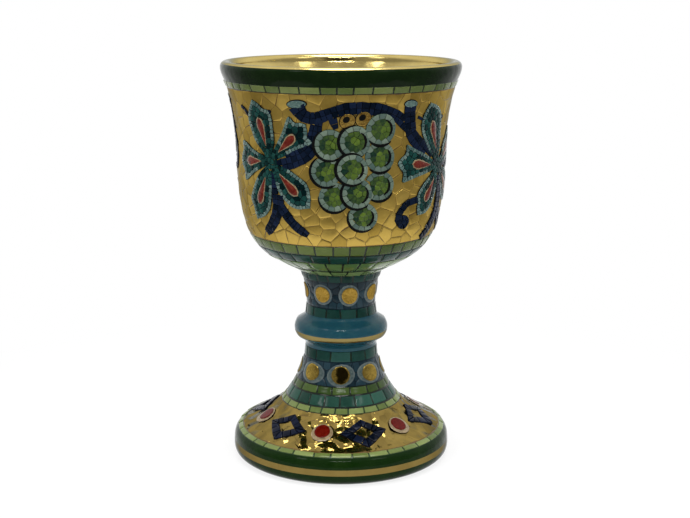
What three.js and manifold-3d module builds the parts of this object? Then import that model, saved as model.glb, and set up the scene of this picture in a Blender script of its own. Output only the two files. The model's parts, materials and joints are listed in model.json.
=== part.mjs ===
// A footed drinking cup of tin-glazed earthenware: four thrown sections luted together with slip.
// Millimetres, +Z up, the foot stands on z = 0 and the axis of the cup is the Z axis.
import * as THREE from "three";
import { mergeVertices } from "three/addons/utils/BufferGeometryUtils.js";
import Module from "manifold-3d";

const wasm = await Module();
wasm.setup();

// Heights of the sections, stacked from the table up.
const FOOT_HEIGHT = 50.1;
const KNOP_HEIGHT = 10.6;
const COLLAR_HEIGHT = 18.3;
const BOWL_HEIGHT = 88.6;
const SLIP_THICKNESS = 0.8;

// Outside radii, from the table up.
const REST_RADIUS = 42.6;
const FOOT_RADIUS = 46.8;
const WAIST_RADIUS = 15.2;
const KNOP_RADIUS = 20.1;
const COLLAR_HOLLOW = 0.95;
const COLLAR_TOP_RADIUS = 17.0;
const BELLY_RADIUS = 43.6;
const RIM_RADIUS = 50.2;

// Thickness of the clay.
const BOWL_WALL = 4.6;
const BOWL_FLOOR = 6.5;
const FOOT_WALL = 5.2;
const STANDING_RING_WIDTH = 4.6;
const FOOT_ROOF = 6.5;

// Hidden joint: a tenon on the foot runs through the knop into the collar, and a boss under the bowl drops
// into the collar from above.
const SOCKET_RADIUS = 9.0;
const SOCKET_CLEARANCE = 0.3;
const END_GAP = 1.4;

// Relief of vine leaves, grapes and stems round the bowl: its height over the clay and the sizes of its forms.
const LEAF_RELIEF = 0.66;
const LOBE_LENGTH = 25.0;
const LOBE_WIDTH = 13.0;
const HEART_RADIUS = 3.4;
const GRAPE_RELIEF = 0.6;
const GRAPE_STEP = 0.2;
const GRAPE_RADIUS = 6.1;
const STEM_RELIEF = 0.6;
const STEM_WIDTH = 4.8;

// Relief round the foot: open lozenges, and a round drop between each two, by angle from the front and share
// of the foot's height.
const FOOT_MOTIFS = 6;
const LOZENGE_ANGLE = 16.5;
const DROP_ANGLE = -13.5;
const FOOT_MOTIF_RISE = 0.367;
const LOZENGE_RELIEF = 0.7;
const LOZENGE_LENGTH = 20.4;
const LOZENGE_HEIGHT = 14.8;
const LOZENGE_BAR = 3.4;
const DROP_RELIEF = 0.9;
const DROP_RADIUS = 4.4;

// Leaves round the bowl: angle from the front and share of the bowl's height, then lobes with their direction,
// their shares of the lobe's length and width, and their form.
const ROUND_LOBE = [[0.1, 0.24], [0.38, 0.82], [0.66, 1.02], [0.87, 0.7], [1, 0.12]];
const FAN_LOBE = [[0.1, 0.2], [0.5, 0.66], [0.84, 1.02], [0.92, 0.42], [1, 0.12]];
const SPREAD_LEAF = [
  [107, 1, 1.03, ROUND_LOBE],
  [43, 0.9, 1, FAN_LOBE],
  [184, 0.82, 1.2, FAN_LOBE],
  [247, 1.1, 0.92, ROUND_LOBE],
  [314, 1, 0.92, ROUND_LOBE],
];
const UPRIGHT_LEAF = [
  [111, 1.12, 1.05, ROUND_LOBE],
  [173, 1, 1.11, FAN_LOBE],
  [237, 0.94, 0.88, ROUND_LOBE],
  [30, 0.84, 1, FAN_LOBE],
  [318, 0.96, 0.89, ROUND_LOBE],
];
const LEAVES = [
  { angle: -39.3, rise: 0.574, lobes: SPREAD_LEAF },
  { angle: 63.1, rise: 0.537, lobes: UPRIGHT_LEAF },
  { angle: 189, rise: 0.565, lobes: SPREAD_LEAF },
];

// Bunches: the angle of each, then its grapes by angle from there, share of the bowl's height and how many
// steps forward each lies.
const BUNCHES = [7, 127, 247];
const GRAPES = [
  [-12.6, 0.661, 1.2],
  [0, 0.676, 2],
  [13.2, 0.728, 2.2],
  [-14.6, 0.543, 0.9],
  [-1.4, 0.553, 3],
  [13.2, 0.605, 1],
  [-10.5, 0.429, 0.5],
  [1.3, 0.445, 1.6],
  [13.1, 0.476, 0.6],
  [4.8, 0.336, 0.2],
];

// Stems, by angle and share of the bowl's height: the arch and its two side shoots from the middle of the
// bunch, the stalk and its fork from the middle of the leaf.
const ARCH = [[-28.7, 0.831], [-24.6, 0.782], [-13.5, 0.796], [0.7, 0.824], [15.7, 0.805], [29.6, 0.718]];
const INNER_SHOOT = [[-18.6, 0.774], [-21.3, 0.665], [-29.4, 0.6]];
const OUTER_SHOOT = [[29, 0.826], [29.4, 0.786], [33.5, 0.678]];
const STALK = [[3.3, -0.045], [4.2, -0.147], [3, -0.226], [-8.2, -0.336]];
const STALK_FORK = [[4.6, -0.192], [10.5, -0.26], [20.8, -0.327]];

// Section of all relief: its height at the edge as a share of its middle's, the low ground inside a lozenge as
// a share of its frame's, and its root as a share of the wall.
const EDGE_SHARE = 0.8;
const LOW_SHARE = 0.2;
const ROOT_SHARE = 1 / 3;

// Fineness of the turned surfaces, of round relief, and of stems as steps of so many widths.
const SEGMENTS = 40;
const RELIEF_CORNERS = 8;
const STEM_STEP = 1.6;

// Levels worked out from the stack.
const knopBase = FOOT_HEIGHT + SLIP_THICKNESS;
const knopTop = knopBase + KNOP_HEIGHT;
const collarBase = knopTop + SLIP_THICKNESS;
const collarTop = collarBase + COLLAR_HEIGHT;
const bowlBase = collarTop + SLIP_THICKNESS;
const bowlTop = bowlBase + BOWL_HEIGHT;
const tenonRadius = SOCKET_RADIUS - SOCKET_CLEARANCE;
const tenonDepth = (COLLAR_HEIGHT - END_GAP) / 2;
const lipRadius = BOWL_WALL / 2;

const point = (radius, height) => new THREE.Vector2(radius, height);

// A smooth stretch of outline between two ends, pulled by two handles.
function stretch(start, handleA, handleB, end, steps) {
  return new THREE.CubicBezierCurve(start, handleA, handleB, end).getPoints(steps);
}

// A round stretch of outline about a centre, from one angle to another in degrees.
function arc(centre, across, up, from, to, steps) {
  const rad = THREE.MathUtils.degToRad;
  const turnsBack = to < from;
  return new THREE.EllipseCurve(centre.x, centre.y, across, up, rad(from), rad(to), turnsBack).getPoints(steps);
}

// The same outline moved sideways by a wall thickness, to the left of its direction.
function wallInside(outline, thickness) {
  return outline.map((here, i) => {
    const before = outline[Math.max(i - 1, 0)];
    const after = outline[Math.min(i + 1, outline.length - 1)];
    const along = after.clone().sub(before).normalize();
    return point(here.x - along.y * thickness, here.y + along.x * thickness);
  });
}

// A turned solid. The outline is either closed on itself or runs from axis to axis.
function turned(name, outline, material) {
  const geometry = new THREE.LatheGeometry(outline, SEGMENTS);
  geometry.rotateX(Math.PI / 2);
  const mesh = new THREE.Mesh(geometry, material);
  mesh.name = name;
  return mesh;
}

const closed = (outline) => [...outline, outline[0].clone()];

// Where a value lies in a rising list: the entry before it and the share of the way to the next one.
function placeIn(list, value) {
  const after = list.findIndex((entry, i) => i > 0 && entry >= value);
  const before = after > 0 ? after - 1 : list.length - 2;
  return [before, (value - list[before]) / (list[before + 1] - list[before])];
}

// A turned side rolled out flat about a middle radius. Flat spots run round the side by x and along it by y.
function rollOut(side, middle, wall) {
  const ups = [0];
  side.slice(1).forEach((here, i) => {
    const run = here.distanceTo(side[i]);
    ups.push(ups[i] + (2 * middle * run) / (here.x + side[i].x));
  });
  const spot = (angle, height) => {
    const [i, share] = placeIn(side.map((p) => p.y), height);
    return point(middle * THREE.MathUtils.degToRad(angle), THREE.MathUtils.lerp(ups[i], ups[i + 1], share));
  };
  const place = (flat, lift) => {
    const raised = wallInside(side, -lift);
    const [i, share] = placeIn(ups, flat.y);
    const spotted = raised[i].clone().lerp(raised[i + 1], share);
    const turn = flat.x / middle;
    return new THREE.Vector3(spotted.x * Math.sin(turn), -spotted.x * Math.cos(turn), spotted.y);
  };
  return { spot, place, root: -ROOT_SHARE * wall };
}

// A closed skin over rings of points, between a point inside the first ring and one inside the last.
function skinned(first, rings, last) {
  const size = rings[0].length;
  const corners = [first, ...rings.flat(), last];
  const corner = (ring, k) => 1 + ring * size + (k % size);
  const faces = [];
  for (let k = 0; k < size; k += 1) {
    faces.push(0, corner(0, k + 1), corner(0, k));
    for (let ring = 1; ring < rings.length; ring += 1) {
      faces.push(corner(ring - 1, k), corner(ring - 1, k + 1), corner(ring, k + 1));
      faces.push(corner(ring - 1, k), corner(ring, k + 1), corner(ring, k));
    }
    faces.push(corner(rings.length - 1, k), corner(rings.length - 1, k + 1), corners.length - 1);
  }
  const geometry = new THREE.BufferGeometry().setFromPoints(corners);
  geometry.setIndex(faces);
  return geometry;
}

// A roundel of relief, highest in its middle and rooted in the clay.
function roundel(chart, middle, radius, relief) {
  const circle = new THREE.EllipseCurve(middle.x, middle.y, radius, radius).getPoints(RELIEF_CORNERS).slice(1);
  const rings = [chart.root, EDGE_SHARE * relief].map((lift) => circle.map((flat) => chart.place(flat, lift)));
  return skinned(chart.place(middle, chart.root), rings, chart.place(middle, relief));
}

// A ridge of relief along a path, with a width at each point and its root in the clay.
function ridge(chart, path, widths, relief) {
  const rings = path.map((flat, i) => {
    const before = path[Math.max(i - 1, 0)];
    const after = path[Math.min(i + 1, path.length - 1)];
    const aside = after.clone().sub(before).normalize().multiplyScalar(widths[i] / 2);
    const left = point(flat.x - aside.y, flat.y + aside.x);
    const right = point(flat.x + aside.y, flat.y - aside.x);
    return [
      chart.place(left, chart.root),
      chart.place(left, EDGE_SHARE * relief),
      chart.place(flat, relief),
      chart.place(right, EDGE_SHARE * relief),
      chart.place(right, chart.root),
    ];
  });
  const inside = chart.root / 2;
  return skinned(chart.place(path[0], inside), rings, chart.place(path[path.length - 1], inside));
}

// An open lozenge of relief: a raised frame round a middle that lies low.
function lozenge(chart, middle) {
  const across = LOZENGE_LENGTH / 2;
  const up = LOZENGE_HEIGHT / 2;
  const inner = 1 - (LOZENGE_BAR * Math.hypot(across, up)) / (across * up);
  const low = LOW_SHARE * LOZENGE_RELIEF;
  const corners = [point(across, 0), point(0, up), point(-across, 0), point(0, -up)];
  const edge = corners.flatMap((here, i) => [here, here.clone().lerp(corners[(i + 1) % corners.length], 0.5)]);
  const ring = (share, lift) => {
    const flats = edge.map((flat) => flat.clone().multiplyScalar(share).add(middle));
    return flats.map((flat) => chart.place(flat, lift));
  };
  const frame = [ring(1, LOZENGE_RELIEF), ring(inner, LOZENGE_RELIEF)];
  const rings = [ring(1, chart.root), ...frame, ring(0.9 * inner, low)];
  return skinned(chart.place(middle, chart.root), rings, chart.place(middle, low));
}

// A stem: a ridge of one width along a smooth line through the points, tapered at its end.
function stem(chart, points) {
  const line = new THREE.SplineCurve(points);
  const steps = Math.max(2, Math.round(line.getLength() / (STEM_STEP * STEM_WIDTH)));
  const path = line.getSpacedPoints(steps);
  const widths = path.map((_, i) => (i < steps ? STEM_WIDTH : 0.8 * STEM_WIDTH));
  return ridge(chart, path, widths, STEM_RELIEF);
}

// A mesh's geometry as a solid that can be joined: shared corners merged, flat triangles on the axis left out.
function solidOf(geometry) {
  const bare = geometry.clone();
  bare.deleteAttribute("normal");
  bare.deleteAttribute("uv");
  const merged = mergeVertices(bare);
  const corners = merged.index.array;
  const faces = [];
  for (let i = 0; i < corners.length; i += 3) {
    const [a, b, c] = corners.slice(i, i + 3);
    if (a !== b && b !== c && c !== a) faces.push(a, b, c);
  }
  const vertProperties = merged.attributes.position.array;
  return new wasm.Manifold(new wasm.Mesh({ numProp: 3, vertProperties, triVerts: new Uint32Array(faces) }));
}

// The relief worked into the clay of the mesh that carries it.
function withRelief(mesh, forms) {
  const joined = forms.reduce((solid, form) => solid.add(solidOf(form)), solidOf(mesh.geometry)).getMesh();
  const geometry = new THREE.BufferGeometry();
  geometry.setAttribute("position", new THREE.BufferAttribute(joined.vertProperties, 3));
  geometry.setIndex([...joined.triVerts]);
  geometry.computeVertexNormals();
  mesh.geometry = geometry;
  return mesh;
}

function finish(colour, roughness, metalness) {
  return new THREE.MeshStandardMaterial({ color: colour, roughness, metalness });
}

// Foot with the lower stem: standing ring, rolled edge, flare, then the tenon above the shoulder.
function makeFoot() {
  const flarePoint = (out, up) => point(WAIST_RADIUS + out * (FOOT_RADIUS - WAIST_RADIUS), up * FOOT_HEIGHT);
  const rollTop = flarePoint(0.93, 0.249);
  const rollMiddle = 0.4 * rollTop.y;
  const footing = stretch(
    point(REST_RADIUS, 0),
    point(0.35 * REST_RADIUS + 0.65 * FOOT_RADIUS, 0.2 * rollMiddle),
    point(FOOT_RADIUS, 0.4 * rollMiddle),
    point(FOOT_RADIUS, rollMiddle),
    4,
  );
  const roll = stretch(
    point(FOOT_RADIUS, rollMiddle),
    point(FOOT_RADIUS, 0.8 * rollTop.y),
    flarePoint(0.98, 0.22),
    rollTop,
    5,
  ).slice(1, -1);
  const flare = new THREE.SplineCurve([
    rollTop,
    flarePoint(0.75, 0.309),
    flarePoint(0.55, 0.377),
    flarePoint(0.34, 0.479),
    flarePoint(0.18, 0.617),
    flarePoint(0.073, 0.754),
    flarePoint(0.014, 0.89),
    flarePoint(0, 1),
  ]).getPoints(14);
  const tenonTop = collarBase + tenonDepth;
  const tenon = [point(tenonRadius, FOOT_HEIGHT), point(tenonRadius, tenonTop), point(0, tenonTop)];
  // The hollow follows the flare at the wall's thickness and closes in a rounded roof.
  const ringInside = REST_RADIUS - STANDING_RING_WIDTH;
  const roofHeight = FOOT_HEIGHT - FOOT_ROOF;
  const hollow = wallInside(flare, FOOT_WALL)
    .filter((p) => p.x < ringInside - 1 && p.y < roofHeight - FOOT_ROOF)
    .filter((p, i) => i % 2 === 0);
  const shoulder = hollow[0];
  const throat = hollow[hollow.length - 1];
  const roof = stretch(
    throat,
    point(0.75 * throat.x, 0.3 * throat.y + 0.7 * roofHeight),
    point(0.5 * throat.x, roofHeight),
    point(0, roofHeight),
    4,
  ).slice(1);
  const inside = [point(ringInside, 0), point(ringInside, 0.75 * shoulder.y), ...hollow, ...roof].reverse();
  const outline = [...inside, ...footing, ...roll, ...flare, ...tenon];
  const foot = turned("foot", outline, finish(0x9a7836, 0.22, 0.55));
  return withRelief(foot, footRelief(rollOut(flare, flarePoint(0.55, 0).x, FOOT_WALL)));
}

// Lozenges and drops, turn about round the foot.
function footRelief(chart) {
  const forms = [];
  for (let k = 0; k < FOOT_MOTIFS; k += 1) {
    const turn = (360 * k) / FOOT_MOTIFS;
    const height = FOOT_MOTIF_RISE * FOOT_HEIGHT;
    forms.push(lozenge(chart, chart.spot(turn + LOZENGE_ANGLE, height)));
    forms.push(roundel(chart, chart.spot(turn + DROP_ANGLE, height), DROP_RADIUS, DROP_RELIEF));
  }
  return forms;
}

// Knop: a round ring, bored for the tenon, flat where the slip meets it.
function makeKnop() {
  const middle = (knopBase + knopTop) / 2;
  const bulge = arc(point(WAIST_RADIUS, middle), KNOP_RADIUS - WAIST_RADIUS, KNOP_HEIGHT / 2, -90, 90, 10);
  const outline = closed([...bulge, point(SOCKET_RADIUS, knopTop), point(SOCKET_RADIUS, knopBase)]);
  return turned("knop", outline, finish(0x2f5d74, 0.16, 0.1));
}

// Collar: the upper stem, slightly waisted, bored right through.
function makeCollar() {
  const side = stretch(
    point(WAIST_RADIUS, collarBase),
    point(WAIST_RADIUS - COLLAR_HOLLOW, collarBase + 0.33 * COLLAR_HEIGHT),
    point(WAIST_RADIUS - COLLAR_HOLLOW, collarBase + 0.65 * COLLAR_HEIGHT),
    point(COLLAR_TOP_RADIUS, collarTop),
    7,
  );
  const outline = closed([...side, point(SOCKET_RADIUS, collarTop), point(SOCKET_RADIUS, collarBase)]);
  return turned("upper_stem", outline, finish(0x45636b, 0.18, 0.15));
}

// Bowl: boss, belly, flared rim, rolled lip, then the inside back down to the floor.
function makeBowl() {
  const bellyTop = bowlBase + 0.55 * BOWL_HEIGHT;
  const bellySpread = BELLY_RADIUS - COLLAR_TOP_RADIUS;
  const belly = stretch(
    point(COLLAR_TOP_RADIUS, bowlBase),
    point(COLLAR_TOP_RADIUS + 0.54 * bellySpread, bowlBase + 0.11 * BOWL_HEIGHT),
    point(BELLY_RADIUS - 0.02 * bellySpread, bowlBase + 0.067 * BOWL_HEIGHT),
    point(BELLY_RADIUS, bellyTop),
    10,
  );
  const lipCentre = point(RIM_RADIUS - lipRadius, bowlTop - lipRadius);
  const rim = stretch(
    point(BELLY_RADIUS, bellyTop),
    point(BELLY_RADIUS + 0.06 * (RIM_RADIUS - BELLY_RADIUS), bellyTop + 0.35 * BOWL_HEIGHT),
    point(RIM_RADIUS, bellyTop + 0.36 * BOWL_HEIGHT),
    point(RIM_RADIUS, lipCentre.y),
    6,
  ).slice(1);
  const lip = arc(lipCentre, lipRadius, lipRadius, 0, 180, 6).slice(1, -1);
  const floorHeight = bowlBase + BOWL_FLOOR;
  const floorEdge = 0.62 * BELLY_RADIUS;
  const wall = wallInside([...belly, ...rim], BOWL_WALL)
    .reverse()
    .filter((p, i) => p.x > floorEdge && i % 2 === 0);
  const floorStart = wall[wall.length - 1];
  const floor = stretch(
    floorStart,
    point(0.75 * floorStart.x, floorHeight + 0.25 * (floorStart.y - floorHeight)),
    point(0.35 * floorStart.x, floorHeight),
    point(0, floorHeight),
    6,
  ).slice(1);
  const bossBase = collarTop - tenonDepth;
  const boss = [point(0, bossBase), point(tenonRadius, bossBase), point(tenonRadius, bowlBase)];
  const outline = [...boss, ...belly, ...rim, ...lip, ...wall, ...floor];
  const bowl = turned("bowl", outline, finish(0xb08838, 0.2, 0.6));
  return withRelief(bowl, bowlRelief(rollOut([...belly, ...rim], BELLY_RADIUS, BOWL_WALL)));
}

// Leaves, bunches of grapes and the stems that join them.
function bowlRelief(chart) {
  const onBowl = (angle, rise) => chart.spot(angle, bowlBase + rise * BOWL_HEIGHT);
  const from = (points, angle, rise) => points.map(([turn, up]) => onBowl(angle + turn, rise + up));
  const forms = [];
  for (const leaf of LEAVES) {
    const heart = onBowl(leaf.angle, leaf.rise);
    forms.push(roundel(chart, heart, HEART_RADIUS, LEAF_RELIEF));
    for (const [direction, longer, wider, form] of leaf.lobes) {
      const turn = THREE.MathUtils.degToRad(direction);
      const ahead = point(Math.cos(turn), Math.sin(turn)).multiplyScalar(longer * LOBE_LENGTH);
      const path = form.map(([share]) => ahead.clone().multiplyScalar(share).add(heart));
      forms.push(ridge(chart, path, form.map(([, share]) => share * wider * LOBE_WIDTH), LEAF_RELIEF));
    }
    forms.push(stem(chart, from(STALK, leaf.angle, leaf.rise)));
    forms.push(stem(chart, from(STALK_FORK, leaf.angle, leaf.rise)));
  }
  BUNCHES.forEach((angle, i) => {
    for (const [turn, rise, forward] of GRAPES) {
      const relief = GRAPE_RELIEF + forward * GRAPE_STEP;
      forms.push(roundel(chart, onBowl(angle + turn, rise), GRAPE_RADIUS, relief));
    }
    const leaf = LEAVES[i];
    forms.push(stem(chart, from(ARCH, angle, 0)));
    forms.push(stem(chart, [...from(INNER_SHOOT, angle, 0), onBowl(leaf.angle, leaf.rise)]));
    forms.push(stem(chart, from(OUTER_SHOOT, angle, 0)));
  });
  return forms;
}

// Slip: the flat ring of fired clay that bonds two sections, flush with both.
function makeSlip(name, base, radius) {
  const top = base + SLIP_THICKNESS;
  const outline = closed([
    point(SOCKET_RADIUS, base),
    point(radius, base),
    point(radius, top),
    point(SOCKET_RADIUS, top),
  ]);
  return turned(name, outline, finish(0xd9cdb6, 0.85, 0));
}

const chalice = new THREE.Group();
chalice.name = "chalice";
chalice.add(
  makeFoot(),
  makeSlip("lower_knop_slip", FOOT_HEIGHT, WAIST_RADIUS),
  makeKnop(),
  makeSlip("upper_knop_slip", knopTop, WAIST_RADIUS),
  makeCollar(),
  makeSlip("bowl_slip", collarTop, COLLAR_TOP_RADIUS),
  makeBowl(),
);

export default chalice;
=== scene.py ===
# Looks of the tin-glazed chalice: glazed bodies, raised mosaic tiles, gold lustre, studio and camera.
import json
import math
import random

import bpy
import numpy as np
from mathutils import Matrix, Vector

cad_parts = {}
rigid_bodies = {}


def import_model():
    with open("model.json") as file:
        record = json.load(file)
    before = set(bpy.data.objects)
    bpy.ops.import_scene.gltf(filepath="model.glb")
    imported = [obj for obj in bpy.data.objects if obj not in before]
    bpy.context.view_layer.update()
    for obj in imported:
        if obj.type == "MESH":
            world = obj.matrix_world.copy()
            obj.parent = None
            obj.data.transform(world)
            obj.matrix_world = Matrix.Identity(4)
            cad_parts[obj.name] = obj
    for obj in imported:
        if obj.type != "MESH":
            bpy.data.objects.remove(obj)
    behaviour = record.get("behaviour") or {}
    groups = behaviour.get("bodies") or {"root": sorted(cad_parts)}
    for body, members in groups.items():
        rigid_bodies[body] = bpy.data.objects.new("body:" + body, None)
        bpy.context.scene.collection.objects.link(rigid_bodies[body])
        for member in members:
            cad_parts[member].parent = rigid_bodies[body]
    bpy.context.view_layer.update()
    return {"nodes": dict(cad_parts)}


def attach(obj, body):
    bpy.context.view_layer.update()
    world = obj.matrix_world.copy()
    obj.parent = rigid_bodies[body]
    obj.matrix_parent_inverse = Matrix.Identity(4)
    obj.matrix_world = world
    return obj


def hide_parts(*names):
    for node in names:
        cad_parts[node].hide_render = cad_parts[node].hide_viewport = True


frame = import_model()

# Lengths on the cup are millimetres, like the part's own source, and MM turns them into Blender's metres.
# The studio, the skin of a finish and the weld of the turned bodies are in metres.
MM = 0.001

# Levels and radii that the thrown sections share with the part's source.
FOOT_HEIGHT = 50.1
KNOP_BASE = 50.9
KNOP_TOP = 61.5
COLLAR_BASE = 62.3
COLLAR_TOP = 80.6
BOWL_BASE = 81.4
BOWL_TOP = 170.0
REST_RADIUS = 42.6
FOOT_RADIUS = 46.8
WAIST_RADIUS = 15.2
KNOP_RADIUS = 20.1
COLLAR_TOP_RADIUS = 17.0
COLLAR_HOLLOW = 0.95
BELLY_RADIUS = 43.6
RIM_RADIUS = 50.2
BOWL_WALL = 4.6
FOOT_WALL = 5.2
SOCKET_RADIUS = 9.0
TENON_RADIUS = 8.7
TENON_TOP = 70.75
BOSS_BASE = 72.15
LIP_RADIUS = BOWL_WALL / 2
BOWL_FLOOR = BOWL_BASE + 6.5
FOOT_ROOF = 43.6
RING_INSIDE = 38.0

# Levels where the painted bands of the cup meet, from the lip down.
LIP_GOLD_EDGE = 169.0
RIM_TILES = (159.5, 162.6)
BOWL_GOLD = (98.7, 159.5)
BOWL_GREEN_TILES = (94.2, 98.7)
BOWL_TEAL_TILES = (90.3, 94.2)
BOWL_LOW_TILES = (85.5, 90.3)
COLLAR_GREEN_TILES = (82.0, 84.6)
COLLAR_TEAL_TILES = (78.5, 82.0)
STEM_NAVY = (67.0, 78.5)
STEM_TEAL_TILES = (62.4, 67.0)
KNOP_STRIPE = (53.3, 55.7)
NECK_TEAL_TILES = (43.8, 48.7)
NECK_NAVY = (34.2, 43.8)
FOOT_GREEN_TILES = (30.9, 34.2)
FOOT_TEAL_TILES = (26.5, 30.9)
FOOT_PALE_TILES = (24.1, 26.5)
FOOT_GOLD = (13.5, 24.1)
FOOT_EDGE_TILES = (12.0, 13.5)
FOOT_STRIPE = (4.7, 7.7)

# Fineness of the turned bodies, and the small radius at which an outline ends on the axis.
TURNED_STEPS = 160
AXIS_RADIUS = 0.6


# Lines and outlines, as radius and height.

def run_along(line):
    """Length of a line from its start to each of its points."""
    return np.concatenate([[0], np.cumsum(np.linalg.norm(np.diff(line, axis=0), axis=1))])


def left_of(along):
    """Steps of length one to the left of the given directions."""
    along = along / np.maximum(np.linalg.norm(along, axis=1), 1e-9)[:, None]
    return np.stack([-along[:, 1], along[:, 0]], axis=1)


def curve(start, handle_a, handle_b, end, steps):
    """A smooth stretch of outline between two ends, pulled by two handles."""
    t = np.linspace(0, 1, steps + 1)[:, None]
    ends = [np.array(p, float) for p in (start, handle_a, handle_b, end)]
    weights = [(1 - t) ** 3, 3 * t * (1 - t) ** 2, 3 * t * t * (1 - t), t ** 3]
    return sum(w * p for w, p in zip(weights, ends))


def through(points, steps):
    """A smooth line through all the points, with the given number of steps between two of them."""
    points = [np.array(p, float) for p in points]
    line = []
    for i in range(len(points) - 1):
        a = points[max(i - 1, 0)]
        b = points[i]
        c = points[i + 1]
        d = points[min(i + 2, len(points) - 1)]
        pull_b = (c - a) / 2
        pull_c = (d - b) / 2
        for k in range(steps):
            t = k / steps
            line.append((2 * b - 2 * c + pull_b + pull_c) * t ** 3
                        + (3 * c - 3 * b - 2 * pull_b - pull_c) * t ** 2 + pull_b * t + b)
    line.append(points[-1])
    return np.array(line)


def arc(centre, across, up, start, end, steps):
    """A round stretch of outline about a centre, from one angle to another in degrees."""
    turn = np.radians(np.linspace(start, end, steps + 1))
    return np.stack([centre[0] + across * np.cos(turn), centre[1] + up * np.sin(turn)], axis=1)


def inward(outline, thickness):
    """The same outline moved sideways by a wall thickness, to the left of its direction."""
    return outline + thickness * left_of(np.gradient(outline, axis=0))


# The flare of the foot, as shares of its spread beyond the waist and of its height.
FLARE = [(0.93, 0.249), (0.75, 0.309), (0.55, 0.377), (0.34, 0.479), (0.18, 0.617), (0.073, 0.754),
         (0.014, 0.89), (0, 1)]


def flare_point(out, up):
    return (WAIST_RADIUS + out * (FOOT_RADIUS - WAIST_RADIUS), up * FOOT_HEIGHT)


def foot_outline():
    """Standing ring, rolled edge and flare of the foot, from the table up to the knop."""
    roll_top = flare_point(*FLARE[0])
    roll_middle = 0.4 * roll_top[1]
    rest_handle = (0.35 * REST_RADIUS + 0.65 * FOOT_RADIUS, 0.2 * roll_middle)
    widest = (FOOT_RADIUS, roll_middle)
    footing = curve((REST_RADIUS, 0), rest_handle, (FOOT_RADIUS, 0.4 * roll_middle), widest, 8)
    roll = curve(widest, (FOOT_RADIUS, 0.8 * roll_top[1]), flare_point(0.98, 0.22), roll_top, 10)
    flare = through([flare_point(*share) for share in FLARE], 6)
    return np.concatenate([footing, roll[1:], flare[1:]])


def knop_outline():
    middle = (KNOP_BASE + KNOP_TOP) / 2
    return arc((WAIST_RADIUS, middle), KNOP_RADIUS - WAIST_RADIUS, (KNOP_TOP - KNOP_BASE) / 2, -90, 90, 28)


def collar_outline():
    height = COLLAR_TOP - COLLAR_BASE
    hollow = WAIST_RADIUS - COLLAR_HOLLOW
    return curve((WAIST_RADIUS, COLLAR_BASE), (hollow, COLLAR_BASE + 0.33 * height),
                 (hollow, COLLAR_BASE + 0.65 * height), (COLLAR_TOP_RADIUS, COLLAR_TOP), 18)


def bowl_outline():
    """Belly and flared rim of the bowl, from the collar up to the lip."""
    height = BOWL_TOP - BOWL_BASE
    belly_top = BOWL_BASE + 0.55 * height
    spread = BELLY_RADIUS - COLLAR_TOP_RADIUS
    flare = RIM_RADIUS - BELLY_RADIUS
    belly = curve((COLLAR_TOP_RADIUS, BOWL_BASE),
                  (COLLAR_TOP_RADIUS + 0.54 * spread, BOWL_BASE + 0.11 * height),
                  (BELLY_RADIUS - 0.02 * spread, BOWL_BASE + 0.067 * height),
                  (BELLY_RADIUS, belly_top), 40)
    rim = curve((BELLY_RADIUS, belly_top), (BELLY_RADIUS + 0.06 * flare, belly_top + 0.35 * height),
                (RIM_RADIUS, belly_top + 0.36 * height), (RIM_RADIUS, BOWL_TOP - LIP_RADIUS), 24)
    return np.concatenate([belly, rim[1:]])


OUTSIDE = np.concatenate([foot_outline(), knop_outline(), collar_outline(), bowl_outline()])

# How far a chart reaches past its band, its number of levels, and the levels over which its lean is evened.
CHART_MARGIN = 3.0
CHART_LEVELS = 400
CHART_WINDOW = 13


class Chart:
    """A band of the cup's outside rolled out flat. Across runs round the cup and up runs up its side.
    Both are true millimetres at the middle of the band, and small shapes keep their form all over it."""

    def __init__(self, low, high):
        top = min(high + CHART_MARGIN, BOWL_TOP - LIP_RADIUS)
        self.levels = np.linspace(max(low - CHART_MARGIN, 0), top, CHART_LEVELS)
        self.radius = np.interp(self.levels, OUTSIDE[:, 1], OUTSIDE[:, 0])
        self.middle = np.interp((low + high) / 2, self.levels, self.radius)
        self.round = 2 * math.pi * self.middle
        step = np.hypot(np.diff(self.radius), np.diff(self.levels))
        stretch = self.middle / ((self.radius[1:] + self.radius[:-1]) / 2)
        self.up = np.concatenate([[0], np.cumsum(step * stretch)])
        even = np.ones(CHART_WINDOW) / CHART_WINDOW
        lean = []
        for change in (np.gradient(self.levels), -np.gradient(self.radius)):
            lean.append(np.convolve(np.pad(change, CHART_WINDOW // 2, mode="edge"), even, "valid"))
        lean = np.stack(lean, axis=1)
        self.outward = lean / np.linalg.norm(lean, axis=1)[:, None]

    def at(self, degrees, level):
        """Flat place of an angle round the cup, where 0 is the front, and a height on it."""
        return (math.radians(degrees) * self.middle, float(np.interp(level, self.levels, self.up)))

    def ends(self, band):
        """Flat heights of the two levels of a band."""
        return [self.at(0, level)[1] for level in band]

    def place(self, flat, lift):
        """Flat points, moved on to the cup at the given heights over its surface, in metres."""
        turn = flat[:, 0] / self.middle
        radius, level, out, rise = (np.interp(flat[:, 1], self.up, values)
                                    for values in (self.radius, self.levels, *self.outward.T))
        radius = radius + out * lift
        level = level + rise * lift
        return MM * np.stack([radius * np.sin(turn), -radius * np.cos(turn), level], axis=1)


# Finishes.

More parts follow.
